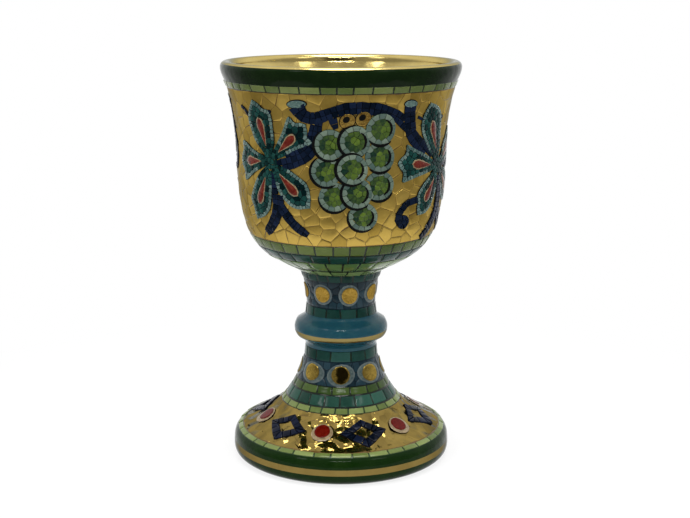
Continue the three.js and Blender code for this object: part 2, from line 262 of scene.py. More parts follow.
class Tree:
    """Short ways to build a node tree. A value that is a socket is linked, and any other is set."""

    def __init__(self, tree):
        self.nodes = tree.nodes
        self.links = tree.links

    def fill(self, node, values):
        for socket, value in values.items():
            if isinstance(value, bpy.types.NodeSocket):
                self.links.new(value, node.inputs[socket])
            else:
                node.inputs[socket].default_value = value
        return node

    def add(self, kind, values, **settings):
        node = self.nodes.new("ShaderNode" + kind)
        for name, setting in settings.items():
            setattr(node, name, setting)
        return self.fill(node, values).outputs

    def math(self, operation, a, b):
        return self.add("Math", {0: a, 1: b}, operation=operation)[0]

    def ramp(self, value, span, levels, step="LINEAR"):
        """A value moved from one span to another, evenly or in a soft step."""
        ends = {"From Min": span[0], "From Max": span[1], "To Min": levels[0], "To Max": levels[1]}
        return self.add("MapRange", {"Value": value, **ends}, interpolation_type=step)["Result"]


def paint(red, green, blue):
    """A colour as it is seen on the pot, in steps of 0 to 255, as Blender's linear colour."""
    linear = []
    for step in (red, green, blue):
        v = step / 255
        linear.append(v / 12.92 if v <= 0.04045 else ((v + 0.055) / 1.055) ** 2.4)
    return (*linear, 1.0)


def hand_glaze_group():
    """Brushed and fired glaze: each tile has its own tone, with drifts, specks and a slightly uneven skin."""
    group = bpy.data.node_groups.new("hand_glaze", "ShaderNodeTree")
    inputs = ("Dark", "Light", "Tile Tone", "Drift", "Specks", "Waves", "Smoothest", "Roughest")
    for side, labels in (("INPUT", inputs), ("OUTPUT", ("Colour", "Roughness", "Height"))):
        for label in labels:
            kind = "Color" if label in ("Dark", "Light", "Colour") else "Float"
            group.interface.new_socket(label, in_out=side, socket_type="NodeSocket" + kind)
    tree = Tree(group)
    given = tree.nodes.new("NodeGroupInput").outputs
    place = tree.add("TexCoord", {})["Object"]
    tone = tree.add("Attribute", {}, attribute_name="tone")["Fac"]

    def clouds(scale, detail):
        return tree.add("TexNoise", {"Vector": place, "Scale": scale, "Detail": detail})["Fac"]

    def part(value, share):
        return tree.math("MULTIPLY", tree.math("SUBTRACT", value, 0.5), share)

    drift = clouds(140.0, 3.0)
    speck_part = part(clouds(900.0, 2.0), given["Specks"])
    ripple = clouds(given["Waves"], 1.0)
    tile_and_drift = tree.math("ADD", part(tone, given["Tile Tone"]), part(drift, given["Drift"]))
    mix_share = tree.math("ADD", tree.math("ADD", tile_and_drift, speck_part), 0.5)
    colour = tree.add("Mix", {"Factor": mix_share, "A": given["Dark"], "B": given["Light"]}, data_type="RGBA")
    tree.fill(tree.nodes.new("NodeGroupOutput"), {
        "Colour": colour["Result"],
        "Roughness": tree.ramp(drift, (0.3, 0.7), (given["Smoothest"], given["Roughest"])),
        "Height": tree.math("ADD", ripple, tree.math("MULTIPLY", speck_part, 0.5))})
    return group


HAND_GLAZE = hand_glaze_group()

# Gold that is seen along its surface mirrors less than bare metal, because the lustre is thin.
GOLD_EDGE = (0.45, 0.49, 0.52, 1)


def finish(name, dark, light, tile_tone=0.9, drift=0.8, specks=0.3, smooth=(0.08, 0.2), metallic=0.0,
           skin=0.35, skin_depth=0.0004, waves=260.0, gloss=0.3):
    """A fired finish: two ends of its colour, and how far tiles, drifts and specks move between them."""
    material = bpy.data.materials.new(name)
    material.use_nodes = True
    tree = Tree(material.node_tree)
    look = {"Dark": dark, "Light": light, "Tile Tone": tile_tone, "Drift": drift, "Specks": specks,
            "Waves": waves, "Smoothest": smooth[0], "Roughest": smooth[1]}
    skin_of = tree.add("Group", look, node_tree=HAND_GLAZE)
    bump = tree.add("Bump", {"Strength": skin, "Distance": skin_depth, "Height": skin_of["Height"]})
    shader = tree.fill(tree.nodes["Principled BSDF"], {
        "Base Color": skin_of["Colour"], "Roughness": skin_of["Roughness"], "Normal": bump["Normal"],
        "Metallic": metallic, "Specular IOR Level": gloss})
    if metallic:
        tree.fill(shader, {"Specular Tint": GOLD_EDGE})
    return material


def gold(name, dark, light, smooth, **look):
    return finish(name, (*dark, 1), (*light, 1), smooth=smooth, metallic=1.0, gloss=0.5, **look)


def glaze(name, dark, light, **look):
    return finish(name, paint(*dark), paint(*light), **look)


SATIN_GOLD = gold("satin_gold", (0.37, 0.245, 0.047), (0.62, 0.43, 0.10), (0.26, 0.42), tile_tone=0.8,
                  drift=0.9, skin=0.3)
BEAD_GOLD = gold("bead_gold", (0.25, 0.17, 0.033), (0.43, 0.30, 0.068), (0.04, 0.09), drift=0.9, specks=0.2)
STEM_BEAD_GOLD = gold("stem_bead_gold", (0.27, 0.165, 0.026), (0.47, 0.30, 0.06), (0.34, 0.46), drift=1.0,
                      specks=0.2)
FOOT_LUSTRE = gold("foot_gold", (0.165, 0.115, 0.032), (0.37, 0.265, 0.075), (0.05, 0.1), tile_tone=0.5,
                   drift=1.0, specks=0.05, skin=1.0, skin_depth=0.0034, waves=130.0)
FOOT_SEAM = gold("foot_gold_seam", (0.14, 0.095, 0.02), (0.30, 0.21, 0.045), (0.08, 0.16), skin=0.7)
LINING = gold("gold_lining", (0.54, 0.41, 0.135), (0.72, 0.57, 0.22), (0.12, 0.22), tile_tone=0.0, drift=0.9,
              specks=0.1, skin=0.2)
STRIPE_GOLD = gold("stripe_gold", (0.165, 0.112, 0.03), (0.27, 0.195, 0.06), (0.08, 0.16), tile_tone=0.0,
                   drift=1.0, specks=0.2, skin=0.2)
KNOP_GOLD = gold("knop_gold", (0.21, 0.155, 0.055), (0.33, 0.265, 0.105), (0.16, 0.3), tile_tone=0.0,
                 drift=1.0, skin=0.25)
BERRY_GOLD = gold("berry_gold", (0.25, 0.135, 0.028), (0.60, 0.40, 0.095), (0.24, 0.4), drift=1.6, specks=0.4)
BROWN_JOINT = glaze("brown_joint", (80, 58, 22), (118, 90, 38), smooth=(0.25, 0.4))
GREEN_JOINT = glaze("green_joint", (6, 18, 8), (20, 36, 18), smooth=(0.12, 0.25))
LIP_GREEN = glaze("lip_green", (10, 26, 6), (22, 38, 12), drift=1.4, smooth=(0.06, 0.14), gloss=0.08)
PALE_GREEN = glaze("pale_green_tile", (70, 86, 40), (102, 114, 62), gloss=0.22)
FOOT_PALE = glaze("foot_pale_tile", (82, 97, 46), (116, 129, 74), gloss=0.2)
LEAF_GREEN = glaze("sage_green_tile", (56, 73, 27), (88, 102, 50), gloss=0.16)
DEEP_GREEN = glaze("deep_green_tile", (64, 90, 46), (98, 120, 72), gloss=0.16)
TEAL = glaze("teal_tile", (4, 40, 34), (32, 66, 60), gloss=0.22)
BLUE_TEAL = glaze("blue_teal_tile", (6, 42, 33), (38, 78, 65), gloss=0.2)
DARK_TEAL = glaze("dark_teal_tile", (2, 34, 29), (25, 58, 51), gloss=0.14)
FOOT_GREEN = glaze("foot_green_tile", (37, 58, 17), (69, 88, 40), gloss=0.2)
FOOT_NAVY = glaze("foot_navy_tile", (3, 7, 17), (16, 23, 42), smooth=(0.08, 0.18), gloss=0.08)
FOOT_JOINT = glaze("foot_joint", (26, 46, 22), (46, 66, 36), gloss=0.2)
ROLL_GREEN = glaze("roll_green", (12, 32, 6), (30, 49, 18), drift=1.2, smooth=(0.03, 0.07), gloss=0.08)
KNOP_BLUE = glaze("knop_blue", (24, 64, 76), (58, 92, 88), drift=1.2, smooth=(0.06, 0.14), gloss=0.18)
NAVY = glaze("navy_tile", (3, 11, 22), (19, 30, 52), smooth=(0.08, 0.18), gloss=0.05)
NAVY_BAND = glaze("navy_band_tile", (8, 26, 34), (32, 53, 62), smooth=(0.08, 0.18), gloss=0.18)
NAVY_JOINT = glaze("navy_joint", (4, 7, 12), (10, 14, 24), gloss=0.06)
SLATE = glaze("slate_ring", (52, 65, 66), (78, 90, 87), drift=1.2, smooth=(0.08, 0.18))
SLATE_EDGE = glaze("slate_edge", (62, 74, 76), (86, 96, 95), smooth=(0.08, 0.18))
LEAF_EDGE = glaze("leaf_edge_tile", (58, 84, 81), (101, 122, 115), tile_tone=1.0)
LEAF_TEAL = glaze("leaf_teal_tile", (0, 20, 21), (26, 66, 61), tile_tone=1.1, gloss=0.06)
GRAPE_RING = glaze("grape_ring_tile", (64, 84, 78), (106, 121, 106))
GRAPE_GREEN = glaze("grape_green_tile", (8, 38, 26), (80, 102, 32), tile_tone=1.1, specks=0.8)
GRAPE_JOINT = glaze("grape_joint", (40, 58, 40), (70, 84, 62))
BLACK = glaze("black_line", (4, 5, 5), (12, 13, 13), smooth=(0.12, 0.25), gloss=0.1)
RED = glaze("red_enamel", (70, 5, 1), (92, 16, 8), drift=1.0, smooth=(0.05, 0.12), gloss=0.1)
VEIN_RED = glaze("vein_red", (80, 18, 9), (106, 40, 27), drift=1.0, smooth=(0.08, 0.16), gloss=0.2)
BLUSH = glaze("blush_line", (110, 94, 68), (146, 128, 98), smooth=(0.1, 0.2))
CLAY = glaze("bare_clay", (176, 140, 108), (208, 176, 144), specks=0.9, smooth=(0.7, 0.95), skin=0.6)


# Mesh helpers.

def only(piece):
    """Makes one piece the only selected and active object."""
    bpy.ops.object.select_all(action="DESELECT")
    piece.select_set(True)
    bpy.context.view_layer.objects.active = piece


def edit(piece):
    """Opens one piece for editing, with all of it selected."""
    only(piece)
    bpy.ops.object.mode_set(mode="EDIT")
    bpy.ops.mesh.select_all(action="SELECT")


def done():
    bpy.ops.object.mode_set(mode="OBJECT")


def points_of(mesh):
    flat = np.empty(len(mesh.vertices) * 3)
    mesh.vertices.foreach_get("co", flat)
    return flat.reshape(-1, 3)


def set_points(mesh, places):
    mesh.vertices.foreach_set("co", places.ravel())


def tiles_of(mesh):
    tiles = np.empty(len(mesh.polygons), int)
    mesh.attributes["tile"].data.foreach_get("value", tiles)
    return tiles


def drawn(draw, low, high, count):
    return np.array([draw.uniform(low, high) for _ in range(count)])


def complete(piece, angle, slot, *replaced):
    """Last step for a piece: soft shading, then its ties to the part, which are its body and the nodes that
    it stands for, which it hides. The slot argument is not used."""
    only(piece)
    bpy.ops.object.shade_smooth_by_angle(angle=math.radians(angle))
    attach(piece, "root")
    if replaced:
        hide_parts(*replaced)


# Turned bodies.

BODY_ANGLE = 40
BODY_WELD = 0.00001


def turned(name, outline, bands, slot, node):
    """A body turned from an outline that starts near the axis or is closed. Each band names a finish
    and says, by radius, height and place on the outline, which faces it covers."""
    start_radius, start_level = outline[0]
    bpy.ops.mesh.primitive_circle_add(vertices=TURNED_STEPS, radius=start_radius * MM)
    piece = bpy.context.object
    piece.name = name
    edit(piece)
    bpy.ops.transform.translate(value=(0, 0, start_level * MM))
    for (r0, z0), (r1, z1) in zip(outline[:-1], outline[1:]):
        bpy.ops.mesh.extrude_region_move(TRANSFORM_OT_translate={"value": (0, 0, (z1 - z0) * MM)})
        widen = r1 / r0
        bpy.ops.transform.resize(value=(widen, widen, 1), center_override=(0, 0, z1 * MM))
    done()
    mesh = piece.data
    run = run_along(outline)
    run /= run[-1]
    places = points_of(mesh)
    turn = np.arctan2(places[:, 0], -places[:, 1]) / (2 * math.pi) + 0.5
    ring = np.arange(len(places)) // TURNED_STEPS
    chart = mesh.uv_layers.new(name="OFBake")
    for material, _ in bands:
        mesh.materials.append(material)
    squeeze = 1 / (1 + 1 / TURNED_STEPS)
    for face in mesh.polygons:
        corners = list(face.vertices)
        wraps = np.ptp(turn[corners]) > 0.5
        for loop, vertex in zip(face.loop_indices, corners):
            across = turn[vertex] + (1.0 if wraps and turn[vertex] < 0.5 else 0.0)
            chart.data[loop].uv = (across * squeeze, run[ring[vertex]])
        first = ring[corners].min()
        radius, level = (outline[first] + outline[ring[corners].max()]) / 2
        face.material_index = [bool(covers(radius, level, run[first])) for _, covers in bands].index(True)
    edit(piece)
    bpy.ops.mesh.remove_doubles(threshold=BODY_WELD)
    bpy.ops.mesh.select_all(action="DESELECT")
    bpy.ops.mesh.select_non_manifold()
    bpy.ops.mesh.fill_holes(sides=0)
    bpy.ops.mesh.select_all(action="SELECT")
    bpy.ops.mesh.normals_make_consistent(inside=False)
    done()
    complete(piece, BODY_ANGLE, slot, node)


def below(top):
    return lambda radius, level, run: level < top


def everywhere(radius, level, run):
    return True


def bowl_body():
    outside = bowl_outline()
    lip = arc((RIM_RADIUS - LIP_RADIUS, BOWL_TOP - LIP_RADIUS), LIP_RADIUS, LIP_RADIUS, 0, 180, 14)
    inside = inward(outside, BOWL_WALL)
    inside = inside[inside[:, 0] > 0.62 * BELLY_RADIUS]
    edge_radius, edge_level = inside[0]
    floor_handle = (0.75 * edge_radius, BOWL_FLOOR + 0.25 * (edge_level - BOWL_FLOOR))
    floor = curve((AXIS_RADIUS, BOWL_FLOOR), (0.35 * edge_radius, BOWL_FLOOR), floor_handle, inside[0], 10)
    boss = [(TENON_RADIUS, BOWL_BASE), (TENON_RADIUS, BOSS_BASE), (AXIS_RADIUS, BOSS_BASE)]
    outline = np.concatenate([floor, inside[1:-1], lip[::-1], outside[::-1][1:], boss])
    run_of = run_along(outline)
    lip_run = run_of[np.argmax(outline[:, 1])] / run_of[-1]
    turned("bowl_body", outline, [
        (LINING, lambda radius, level, run: run < lip_run or level > LIP_GOLD_EDGE),
        (LIP_GREEN, lambda radius, level, run: level > RIM_TILES[1]),
        (BROWN_JOINT, lambda radius, level, run: BOWL_GOLD[0] < level < BOWL_GOLD[1]),
        (GREEN_JOINT, everywhere)], "gilt_glaze", "bowl")


def stem_body():
    side = collar_outline()
    socket = [(SOCKET_RADIUS, COLLAR_TOP), (SOCKET_RADIUS, COLLAR_BASE), side[0]]
    turned("stem_body", np.concatenate([side, socket]), [(NAVY_BAND, everywhere)], "teal_glaze", "upper_stem")


def knop_body():
    """The blue ring. A thin lip of its glaze runs over both slip joints on to the stem."""
    coat = WAIST_RADIUS + 0.22
    fillet = WAIST_RADIUS + 0.6
    over_slip = WAIST_RADIUS + 0.04
    foot_end = 48.6
    stem_end = 62.9
    first = 8
    last = 20
    bulge = knop_outline()
    lower = curve((coat, foot_end), (coat, 50.3), (fillet, 51.1), bulge[first] + (0.02, -0.02), 8)
    upper = curve(bulge[last] + (0.02, 0.02), (fillet, 61.4), (coat, 61.9), (coat, stem_end), 8)
    inside = [(over_slip, stem_end), (over_slip, KNOP_TOP), (SOCKET_RADIUS, KNOP_TOP),
              (SOCKET_RADIUS, KNOP_BASE), (over_slip, KNOP_BASE), (over_slip, foot_end)]
    outline = np.concatenate([inside[-1:], lower, bulge[first + 1:last], upper, inside])
    stripe_inside = 18.0

    def on_stripe(radius, level, run):
        return radius > stripe_inside and KNOP_STRIPE[0] < level < KNOP_STRIPE[1]

    turned("knop_body", outline, [(KNOP_GOLD, on_stripe), (KNOP_BLUE, everywhere)], "blue_glaze", "knop")


def foot_body():
    outside = foot_outline()
    widest = 37.0
    highest = 37.0
    lowest = 9.0
    ring_top = 8.9
    chamfer = 0.5
    hollow = inward(outside, FOOT_WALL)
    hollow = hollow[(hollow[:, 0] < widest) & (hollow[:, 1] < highest) & (hollow[:, 1] > lowest)]
    throat = hollow[-1]
    roof_handle = (0.75 * throat[0], 0.3 * throat[1] + 0.7 * FOOT_ROOF)
    roof = curve((AXIS_RADIUS, FOOT_ROOF), (0.5 * throat[0], FOOT_ROOF), roof_handle, throat, 8)
    ring = [(RING_INSIDE, ring_top), (RING_INSIDE, chamfer), (RING_INSIDE + chamfer, 0)]
    tenon = [(TENON_RADIUS, FOOT_HEIGHT), (TENON_RADIUS, TENON_TOP), (AXIS_RADIUS, TENON_TOP)]
    outline = np.concatenate([roof, hollow[::-1][1:], ring, outside, tenon])
    rest_at = len(roof) + len(hollow) - 1 + len(ring)
    run_of = run_along(outline)
    rest_run = (run_of[rest_at] - 0.01) / run_of[-1]
    turned("foot_body", outline, [
        (CLAY, lambda radius, level, run: run < rest_run),
        (ROLL_GREEN, below(FOOT_STRIPE[0])),
        (STRIPE_GOLD, below(FOOT_STRIPE[1])),
        (ROLL_GREEN, below(FOOT_EDGE_TILES[0])),
        (FOOT_JOINT, below(FOOT_GOLD[0])),
        (BROWN_JOINT, below(FOOT_GOLD[1])),
        (GREEN_JOINT, below(FOOT_GREEN_TILES[1])),
        (NAVY_BAND, everywhere)], "foot_glaze", "foot")


# Tiles and tesserae are laid flat in millimetres, raised with insets, and then wrapped on to the cup.
# The cut of a tile is its joint, its slope, its relief, and the inset and the height of its crown.
ROW_CUT = (0.34, 0.1, 0.17, 0.45, 0.07)
LEAF_CUT = (0.11, 0.07, 0.12, 0.16, 0.05)
GRAPE_CUT = (0.08, 0.07, 0.12, 0.16, 0.05)
VINE_CUT = (0.1, 0.08, 0.12, 0.24, 0.05)
LOZENGE_CUT = (0.12, 0.1, 0.14, 0.3, 0.06)
BOWL_GOLD_CUT = (0.08, 0.16, 0.1, 0.5, 0.06)
FOOT_GOLD_CUT = (0.03, 0.3, 0.03, 0.7, 0.05)
NAVY_CUT = (0.11, 0.14, 0.06, 0.5, 0.06)

# The bed of a mosaic is how far its border drops, how much its tiles lean, and how high it lies on the clay.
BED_LIFT = 0.06
SLIP_BED_LIFT = 0.16
ROW_BORDER = 0.3
ROW_LEAN = 0.02
LEAF_BED = (0.4, 0.03, 0.48)
GRAPE_BED = (0.35, 0.03, 0.42)
VINE_BED = (0.3, 0.03, 0.46)
LOZENGE_BED = (0.35, 0.03, 0.48)

# Corners closer than a weld become one. Shading is smooth where faces meet at less than the tile angle.
TILE_WELD = 0.0005
PATCH_WELD = 0.002
TILE_ANGLE = 38

# A tile leans at most this many times the usual lean, and it leans above this share of its relief.
MOST_LEAN = 1.6
LEAN_FLOOR = 0.8


def mark_tiles(mesh, tiles, seed, tones=None):
    """Gives each face the number of its tile and the tone of that tile, which is drawn if none is given."""
    draw = random.Random(seed)
    tones = tones or [draw.random() for _ in range(max(tiles) + 1)]
    mesh.attributes.new("tone", "FLOAT", "FACE").data.foreach_set("value", [tones[t] for t in tiles])
    mesh.attributes.new("tile", "INT", "FACE").data.foreach_set("value", tiles)


def flat_sheet(name, polygons, materials, seed, kinds=None, tones=None):
    """A flat mesh with one face for each polygon, its finish, and its own tone."""
    corners = [(*corner, 0.0) for polygon in polygons for corner in polygon]
    faces = []
    first = 0
    for polygon in polygons:
        faces.append(tuple(range(first, first + len(polygon))))
        first += len(polygon)
    mesh = bpy.data.meshes.new(name)
    mesh.from_pydata(corners, [], faces)
    for material in materials:
        mesh.materials.append(material)
    mesh.polygons.foreach_set("material_index", kinds or [0] * len(faces))
    mark_tiles(mesh, list(range(len(faces))), seed, tones)
    piece = bpy.data.objects.new(name, mesh)
    bpy.context.collection.objects.link(piece)
    return piece


def raise_tiles(piece, joint, cut, separate, even):
    """Insets each tile for its joint, lifts it with a sloped side, and crowns its top."""
    gap, slope, relief, crown_inset, crown = cut

    def inset(thickness, depth):
        bpy.ops.mesh.inset(thickness=thickness, depth=depth, use_individual=separate, use_even_offset=even)

    edit(piece)
    inset(gap, 0)
    bpy.ops.mesh.select_all(action="INVERT")
    piece.active_material_index = piece.data.materials.find(joint.name)
    bpy.ops.object.material_slot_assign()
    bpy.ops.mesh.select_all(action="INVERT")
    inset(slope, relief)
    inset(crown_inset, crown)
    bpy.ops.mesh.select_all(action="SELECT")
    bpy.ops.mesh.remove_doubles(threshold=TILE_WELD)
    done()


def select_border(piece):
    """Opens a piece for editing with the corners of its open border selected."""
    edit(piece)
    bpy.ops.mesh.select_mode(type="VERT")
    bpy.ops.mesh.select_all(action="DESELECT")
    bpy.ops.mesh.select_non_manifold()


def move_selected(lift):
    """Moves the selected corners off the flat, and closes the piece."""
    bpy.ops.transform.translate(value=(0, 0, lift))
    bpy.ops.mesh.select_mode(type="FACE")
    done()


def drop_border(piece, depth):
    """Lowers the outer border of a sheet, so that it ends in what lies under it."""
    select_border(piece)
    move_selected(-depth)


def lift_tiles(piece, lifts):
    """Lifts each tile by its own height. What hangs at the border follows only a little."""
    hangs_below = -0.1
    hanging_share = 0.2
    mesh = piece.data
    tiles = tiles_of(mesh)
    places = points_of(mesh)
    lift = np.zeros(len(places))
    for face in mesh.polygons:
        for vertex in face.vertices:
            lift[vertex] = lifts[tiles[face.index]]
    lift[places[:, 2] < hangs_below] *= hanging_share
    places[:, 2] += lift
    set_points(mesh, places)


def tilt_tiles(piece, floor, amount, seed):
    """Leans the top of each tile a little its own way, as hand-set tiles do."""
    draw = random.Random(seed)
    mesh = piece.data
    tiles = tiles_of(mesh)
    places = points_of(mesh)
    lift = places[:, 2].copy()
    members = {}
    for face in mesh.polygons:
        members.setdefault(int(tiles[face.index]), []).extend(face.vertices)
    for tile in sorted(members):
        across, up = [max(-MOST_LEAN, min(MOST_LEAN, draw.gauss(0, 1))) * amount for _ in range(2)]
        own = np.array(sorted(set(members[tile])))
        own = own[places[own, 2] > floor]
        if len(own) == 0:
            continue
        away = places[own] - places[own].mean(axis=0)
        lift[own] += away[:, 0] * across + away[:, 1] * up
    places[:, 2] = lift
    set_points(mesh, places)


def wrap(piece, site, base):
    """Keeps the flat layout as the piece's own map, moves the piece on to the cup, and completes it."""
    chart, slot = site
    mesh = piece.data
    flat = points_of(mesh)
    low = flat[:, :2].min(axis=0)
    size = flat[:, :2].max(axis=0) - low
    spread = (flat[:, :2] - low) / size
    corner = np.empty(len(mesh.loops), int)
    mesh.loops.foreach_get("vertex_index", corner)
    mesh.uv_layers.new(name="OFBake").data.foreach_set("uv", spread[corner].ravel())
    set_points(mesh, chart.place(flat, flat[:, 2] + base))
    mesh.update()
    complete(piece, TILE_ANGLE, slot)


def set_tiles(piece, joint, cut, bed, site, seed, separate=True, even=True, lifts=None):
    """Turns a flat piece into raised, leaning tiles at its site, which is a chart and a material slot."""
    border, lean, base = bed
    raise_tiles(piece, joint, cut, separate, even)
    if border:
        drop_border(piece, border)
    if lifts:
        lift_tiles(piece, lifts)
    tilt_tiles(piece, LEAN_FLOOR * cut[2], lean, seed)
    wrap(piece, site, base)


def weld(piece):
    edit(piece)
    bpy.ops.mesh.remove_doubles(threshold=PATCH_WELD)
    done()


def dome_sheet(piece, height):
    """Welds a sheet of quads and lifts its inner corners, so that it stands as a soft bead."""
    weld(piece)
    select_border(piece)
    bpy.ops.mesh.select_all(action="INVERT")
    move_selected(height)


# Steps by which a round bead rises from its border to its middle, as shares of its height, and how far
# its border drops.
SWELL_STEPS = (0.45, 0.25, 0.18, 0.12)
BEAD_BORDER = 0.12


def bead_swell(piece, height):
    """Welds round patches and swells each into a low bead that meets the ground at its border."""
    weld(piece)
    edit(piece)
    bpy.ops.mesh.select_mode(type="VERT")
    for share in SWELL_STEPS[:-1]:
        bpy.ops.mesh.select_less()
        bpy.ops.transform.translate(value=(0, 0, height * share))
    bpy.ops.mesh.select_less()
    move_selected(height * SWELL_STEPS[-1])


def enamel(name, quads, material, site, shape, height, base, seed, border=BEAD_BORDER, lifts=None):
    """A raised piece of one finish: quads laid flat, given their shape and height, and set on the cup."""
    piece = flat_sheet(name, quads, [material], seed)
    if lifts:
        lift_tiles(piece, lifts)
    shape(piece, height)
    if border:
        drop_border(piece, border)
    wrap(piece, site, base)


# Rows of oblong tiles: how much their widths differ, how far a joint slants, and how far its ends stray.
ROW_WIDTHS = (0.85, 1.15)
ROW_SLANT = 0.35
ROW_SWAY = 0.12


def tile_row(name, band, count, tile, joint, slot, seed, bed=BED_LIFT):
    """A ring of hand-cut tiles between two levels, each of them three faces wide and three high."""
    parts = 3
    chart = Chart(*band)
    draw = random.Random(seed)
    low, high = chart.ends(band)
    bpy.ops.mesh.primitive_grid_add(x_subdivisions=count * parts, y_subdivisions=parts, size=1)
    piece = bpy.context.object
    piece.name = name
    mesh = piece.data
    for material in (tile, joint):
        mesh.materials.append(material)
    places = points_of(mesh)
    column = np.rint((places[:, 0] + 0.5) * count * parts).astype(int)
    row = places[:, 1] + 0.5
    widths = drawn(draw, *ROW_WIDTHS, count)
    edges = np.concatenate([[0], np.cumsum(widths)]) / widths.sum() * chart.round
    slant = drawn(draw, -ROW_SLANT, ROW_SLANT, count + 1)
    sway = drawn(draw, -ROW_SWAY, ROW_SWAY, count + 1)
    for closed in (slant, sway):
        closed[-1] = closed[0]
    ticks = np.arange(count + 1) * parts
    start = -chart.round / 2
    places[:, 0] = start + np.interp(column, ticks, edges) + np.interp(column, ticks, slant) * (row - 0.5)
    places[:, 1] = low + row * (high - low) + np.interp(column, ticks, sway) * np.abs(row - 0.5)
    set_points(mesh, places)
    tiles = [int(np.floor(np.mean(column[list(f.vertices)]) / parts)) for f in mesh.polygons]
    mark_tiles(mesh, tiles, seed)
    edit(piece)
    bpy.ops.mesh.select_mode(type="EDGE")
    bpy.ops.mesh.select_all(action="DESELECT")
    done()
    for side in mesh.edges:
        a, b = side.vertices
        side.select = column[a] == column[b] and column[a] % parts == 0
    bpy.ops.object.mode_set(mode="EDIT")
    bpy.ops.mesh.edge_split(type="EDGE")
    bpy.ops.mesh.select_mode(type="FACE")
    done()
    set_tiles(piece, joint, ROW_CUT, (bed + ROW_BORDER, ROW_LEAN, bed), (chart, slot), seed, separate=False)


# Cells of a mosaic: every point of an area belongs to its nearest seed.

def trim(polygon, seed, other):
    """The part of a polygon that lies nearer to one seed than to the other."""
    nx = other[0] - seed[0]
    ny = other[1] - seed[1]
    limit = (other[0] ** 2 - seed[0] ** 2 + other[1] ** 2 - seed[1] ** 2) / 2
    kept = []
    for p, q in zip(polygon, polygon[1:] + polygon[:1]):
        sp = p[0] * nx + p[1] * ny - limit
        sq = q[0] * nx + q[1] * ny - limit
        if sp <= 0:
            kept.append(p)
        if (sp < 0 < sq) or (sq < 0 < sp):
            t = sp / (sp - sq)
            kept.append((p[0] + t * (q[0] - p[0]), p[1] + t * (q[1] - p[1])))
    return kept


def plain(polygon, shortest=0.25):
    """The polygon without corners that lie closer together than the shortest side."""
    kept = []
    for corner in polygon:
        if not kept or math.dist(corner, kept[-1]) > shortest:
            kept.append(corner)
    while len(kept) > 2 and math.dist(kept[0], kept[-1]) <= shortest:
        kept.pop()
    return kept


def cell(seed, others, limits, shortest, slimmest):
    """One cell: the limits, cut back halfway to every other seed. It is empty if it comes out too slim."""
    polygon = limits
    for other in others:
        polygon = trim(polygon, seed, other)
        if len(polygon) < 3:
            return []
    polygon = plain(polygon, shortest)
    if len(polygon) < 3:
        return []
    sides = list(zip(polygon, polygon[1:] + polygon[:1]))
    area = sum(p[0] * q[1] - q[0] * p[1] for p, q in sides) / 2
    return polygon if 2 * area / sum(math.dist(p, q) for p, q in sides) >= slimmest else []


def edge_distance(points, outline):
    """Distance of each point from an outline, and whether it lies inside."""
    points = np.asarray(points, float)
    a = np.asarray(outline, float)
    b = np.roll(a, -1, axis=0)
    side = b - a
    reach = points[:, None, :] - a[None]
    t = np.clip((reach * side).sum(-1) / np.maximum((side ** 2).sum(-1), 1e-9), 0, 1)
    away = np.linalg.norm(reach - t[..., None] * side, axis=-1).min(axis=1)
    x, y = points.T[..., None]
    crosses = (a[:, 1] > y) != (b[:, 1] > y)
    with np.errstate(divide="ignore", invalid="ignore"):
        meet = a[:, 0] + (y - a[:, 1]) / side[:, 1] * side[:, 0]
    inside = (crosses & (x < meet)).sum(axis=1) % 2 == 1
    return away, inside


def contour_seeds(outline, first, pitch, draw):
    """Seeds in rows that follow an outline inwards, with the number of the row of each. In a row they
    stand a little more than a tessera apart, and from the other rows a little less."""
    most_rows = 12
    fine_step = 0.2
    jitter = 0.08
    in_row = 1.1
    between_rows = 0.85
    true_depth = 0.94
    closed = np.vstack([outline, outline[:1]])
    run = run_along(closed)
    fine = np.arange(0, run[-1], fine_step)
    line = np.stack([np.interp(fine, run, closed[:, k]) for k in (0, 1)], axis=1)
    left = left_of(np.roll(line, -2, axis=0) - np.roll(line, 2, axis=0))
    seeds = []
    rows = []
    for row in range(most_rows):
        depth = first / 2 if row == 0 else first + (row - 0.5) * pitch
        inner = line + left * depth
        away, inside = edge_distance(inner, outline)
        along = (first if row == 0 else pitch) * in_row
        across = between_rows * ((first + pitch) / 2 if row == 1 else pitch)
        for spot in inner[inside & (away > true_depth * depth)]:
            if all(math.dist(spot, s) > (along if r == row else across) for s, r in zip(seeds, rows)):
                seeds.append(tuple(place + draw.uniform(-jitter, jitter) for place in spot))
                rows.append(row)
        if row > 0 and row not in rows:
            break
    return seeds, rows


def contour_cells(outline, first, pitch, draw):
    """Tesserae that follow an outline, each with the number of its row."""
    shortest = 0.12
    slimmest = 0.3
    near_reach = 7
    seeds, rows = contour_seeds(outline, first, pitch, draw)
    limits = [tuple(p) for p in outline]
    cells = []
    for seed, row in zip(seeds, rows):
        near = [s for s in seeds if s != seed and math.dist(s, seed) < near_reach * pitch]
        near.sort(key=lambda s: math.dist(s, seed))
        polygon = cell(seed, near, limits, shortest, slimmest)
        if polygon:
            cells.append((polygon, row))
    return cells


# Outlines of the painted motifs, flat and about their own middle.

def turned_about(points, degrees):
    c = math.cos(math.radians(degrees))
    s = math.sin(math.radians(degrees))
    points = np.asarray(points, float)
    return np.stack([points[:, 0] * c - points[:, 1] * s, points[:, 0] * s + points[:, 1] * c], axis=1)


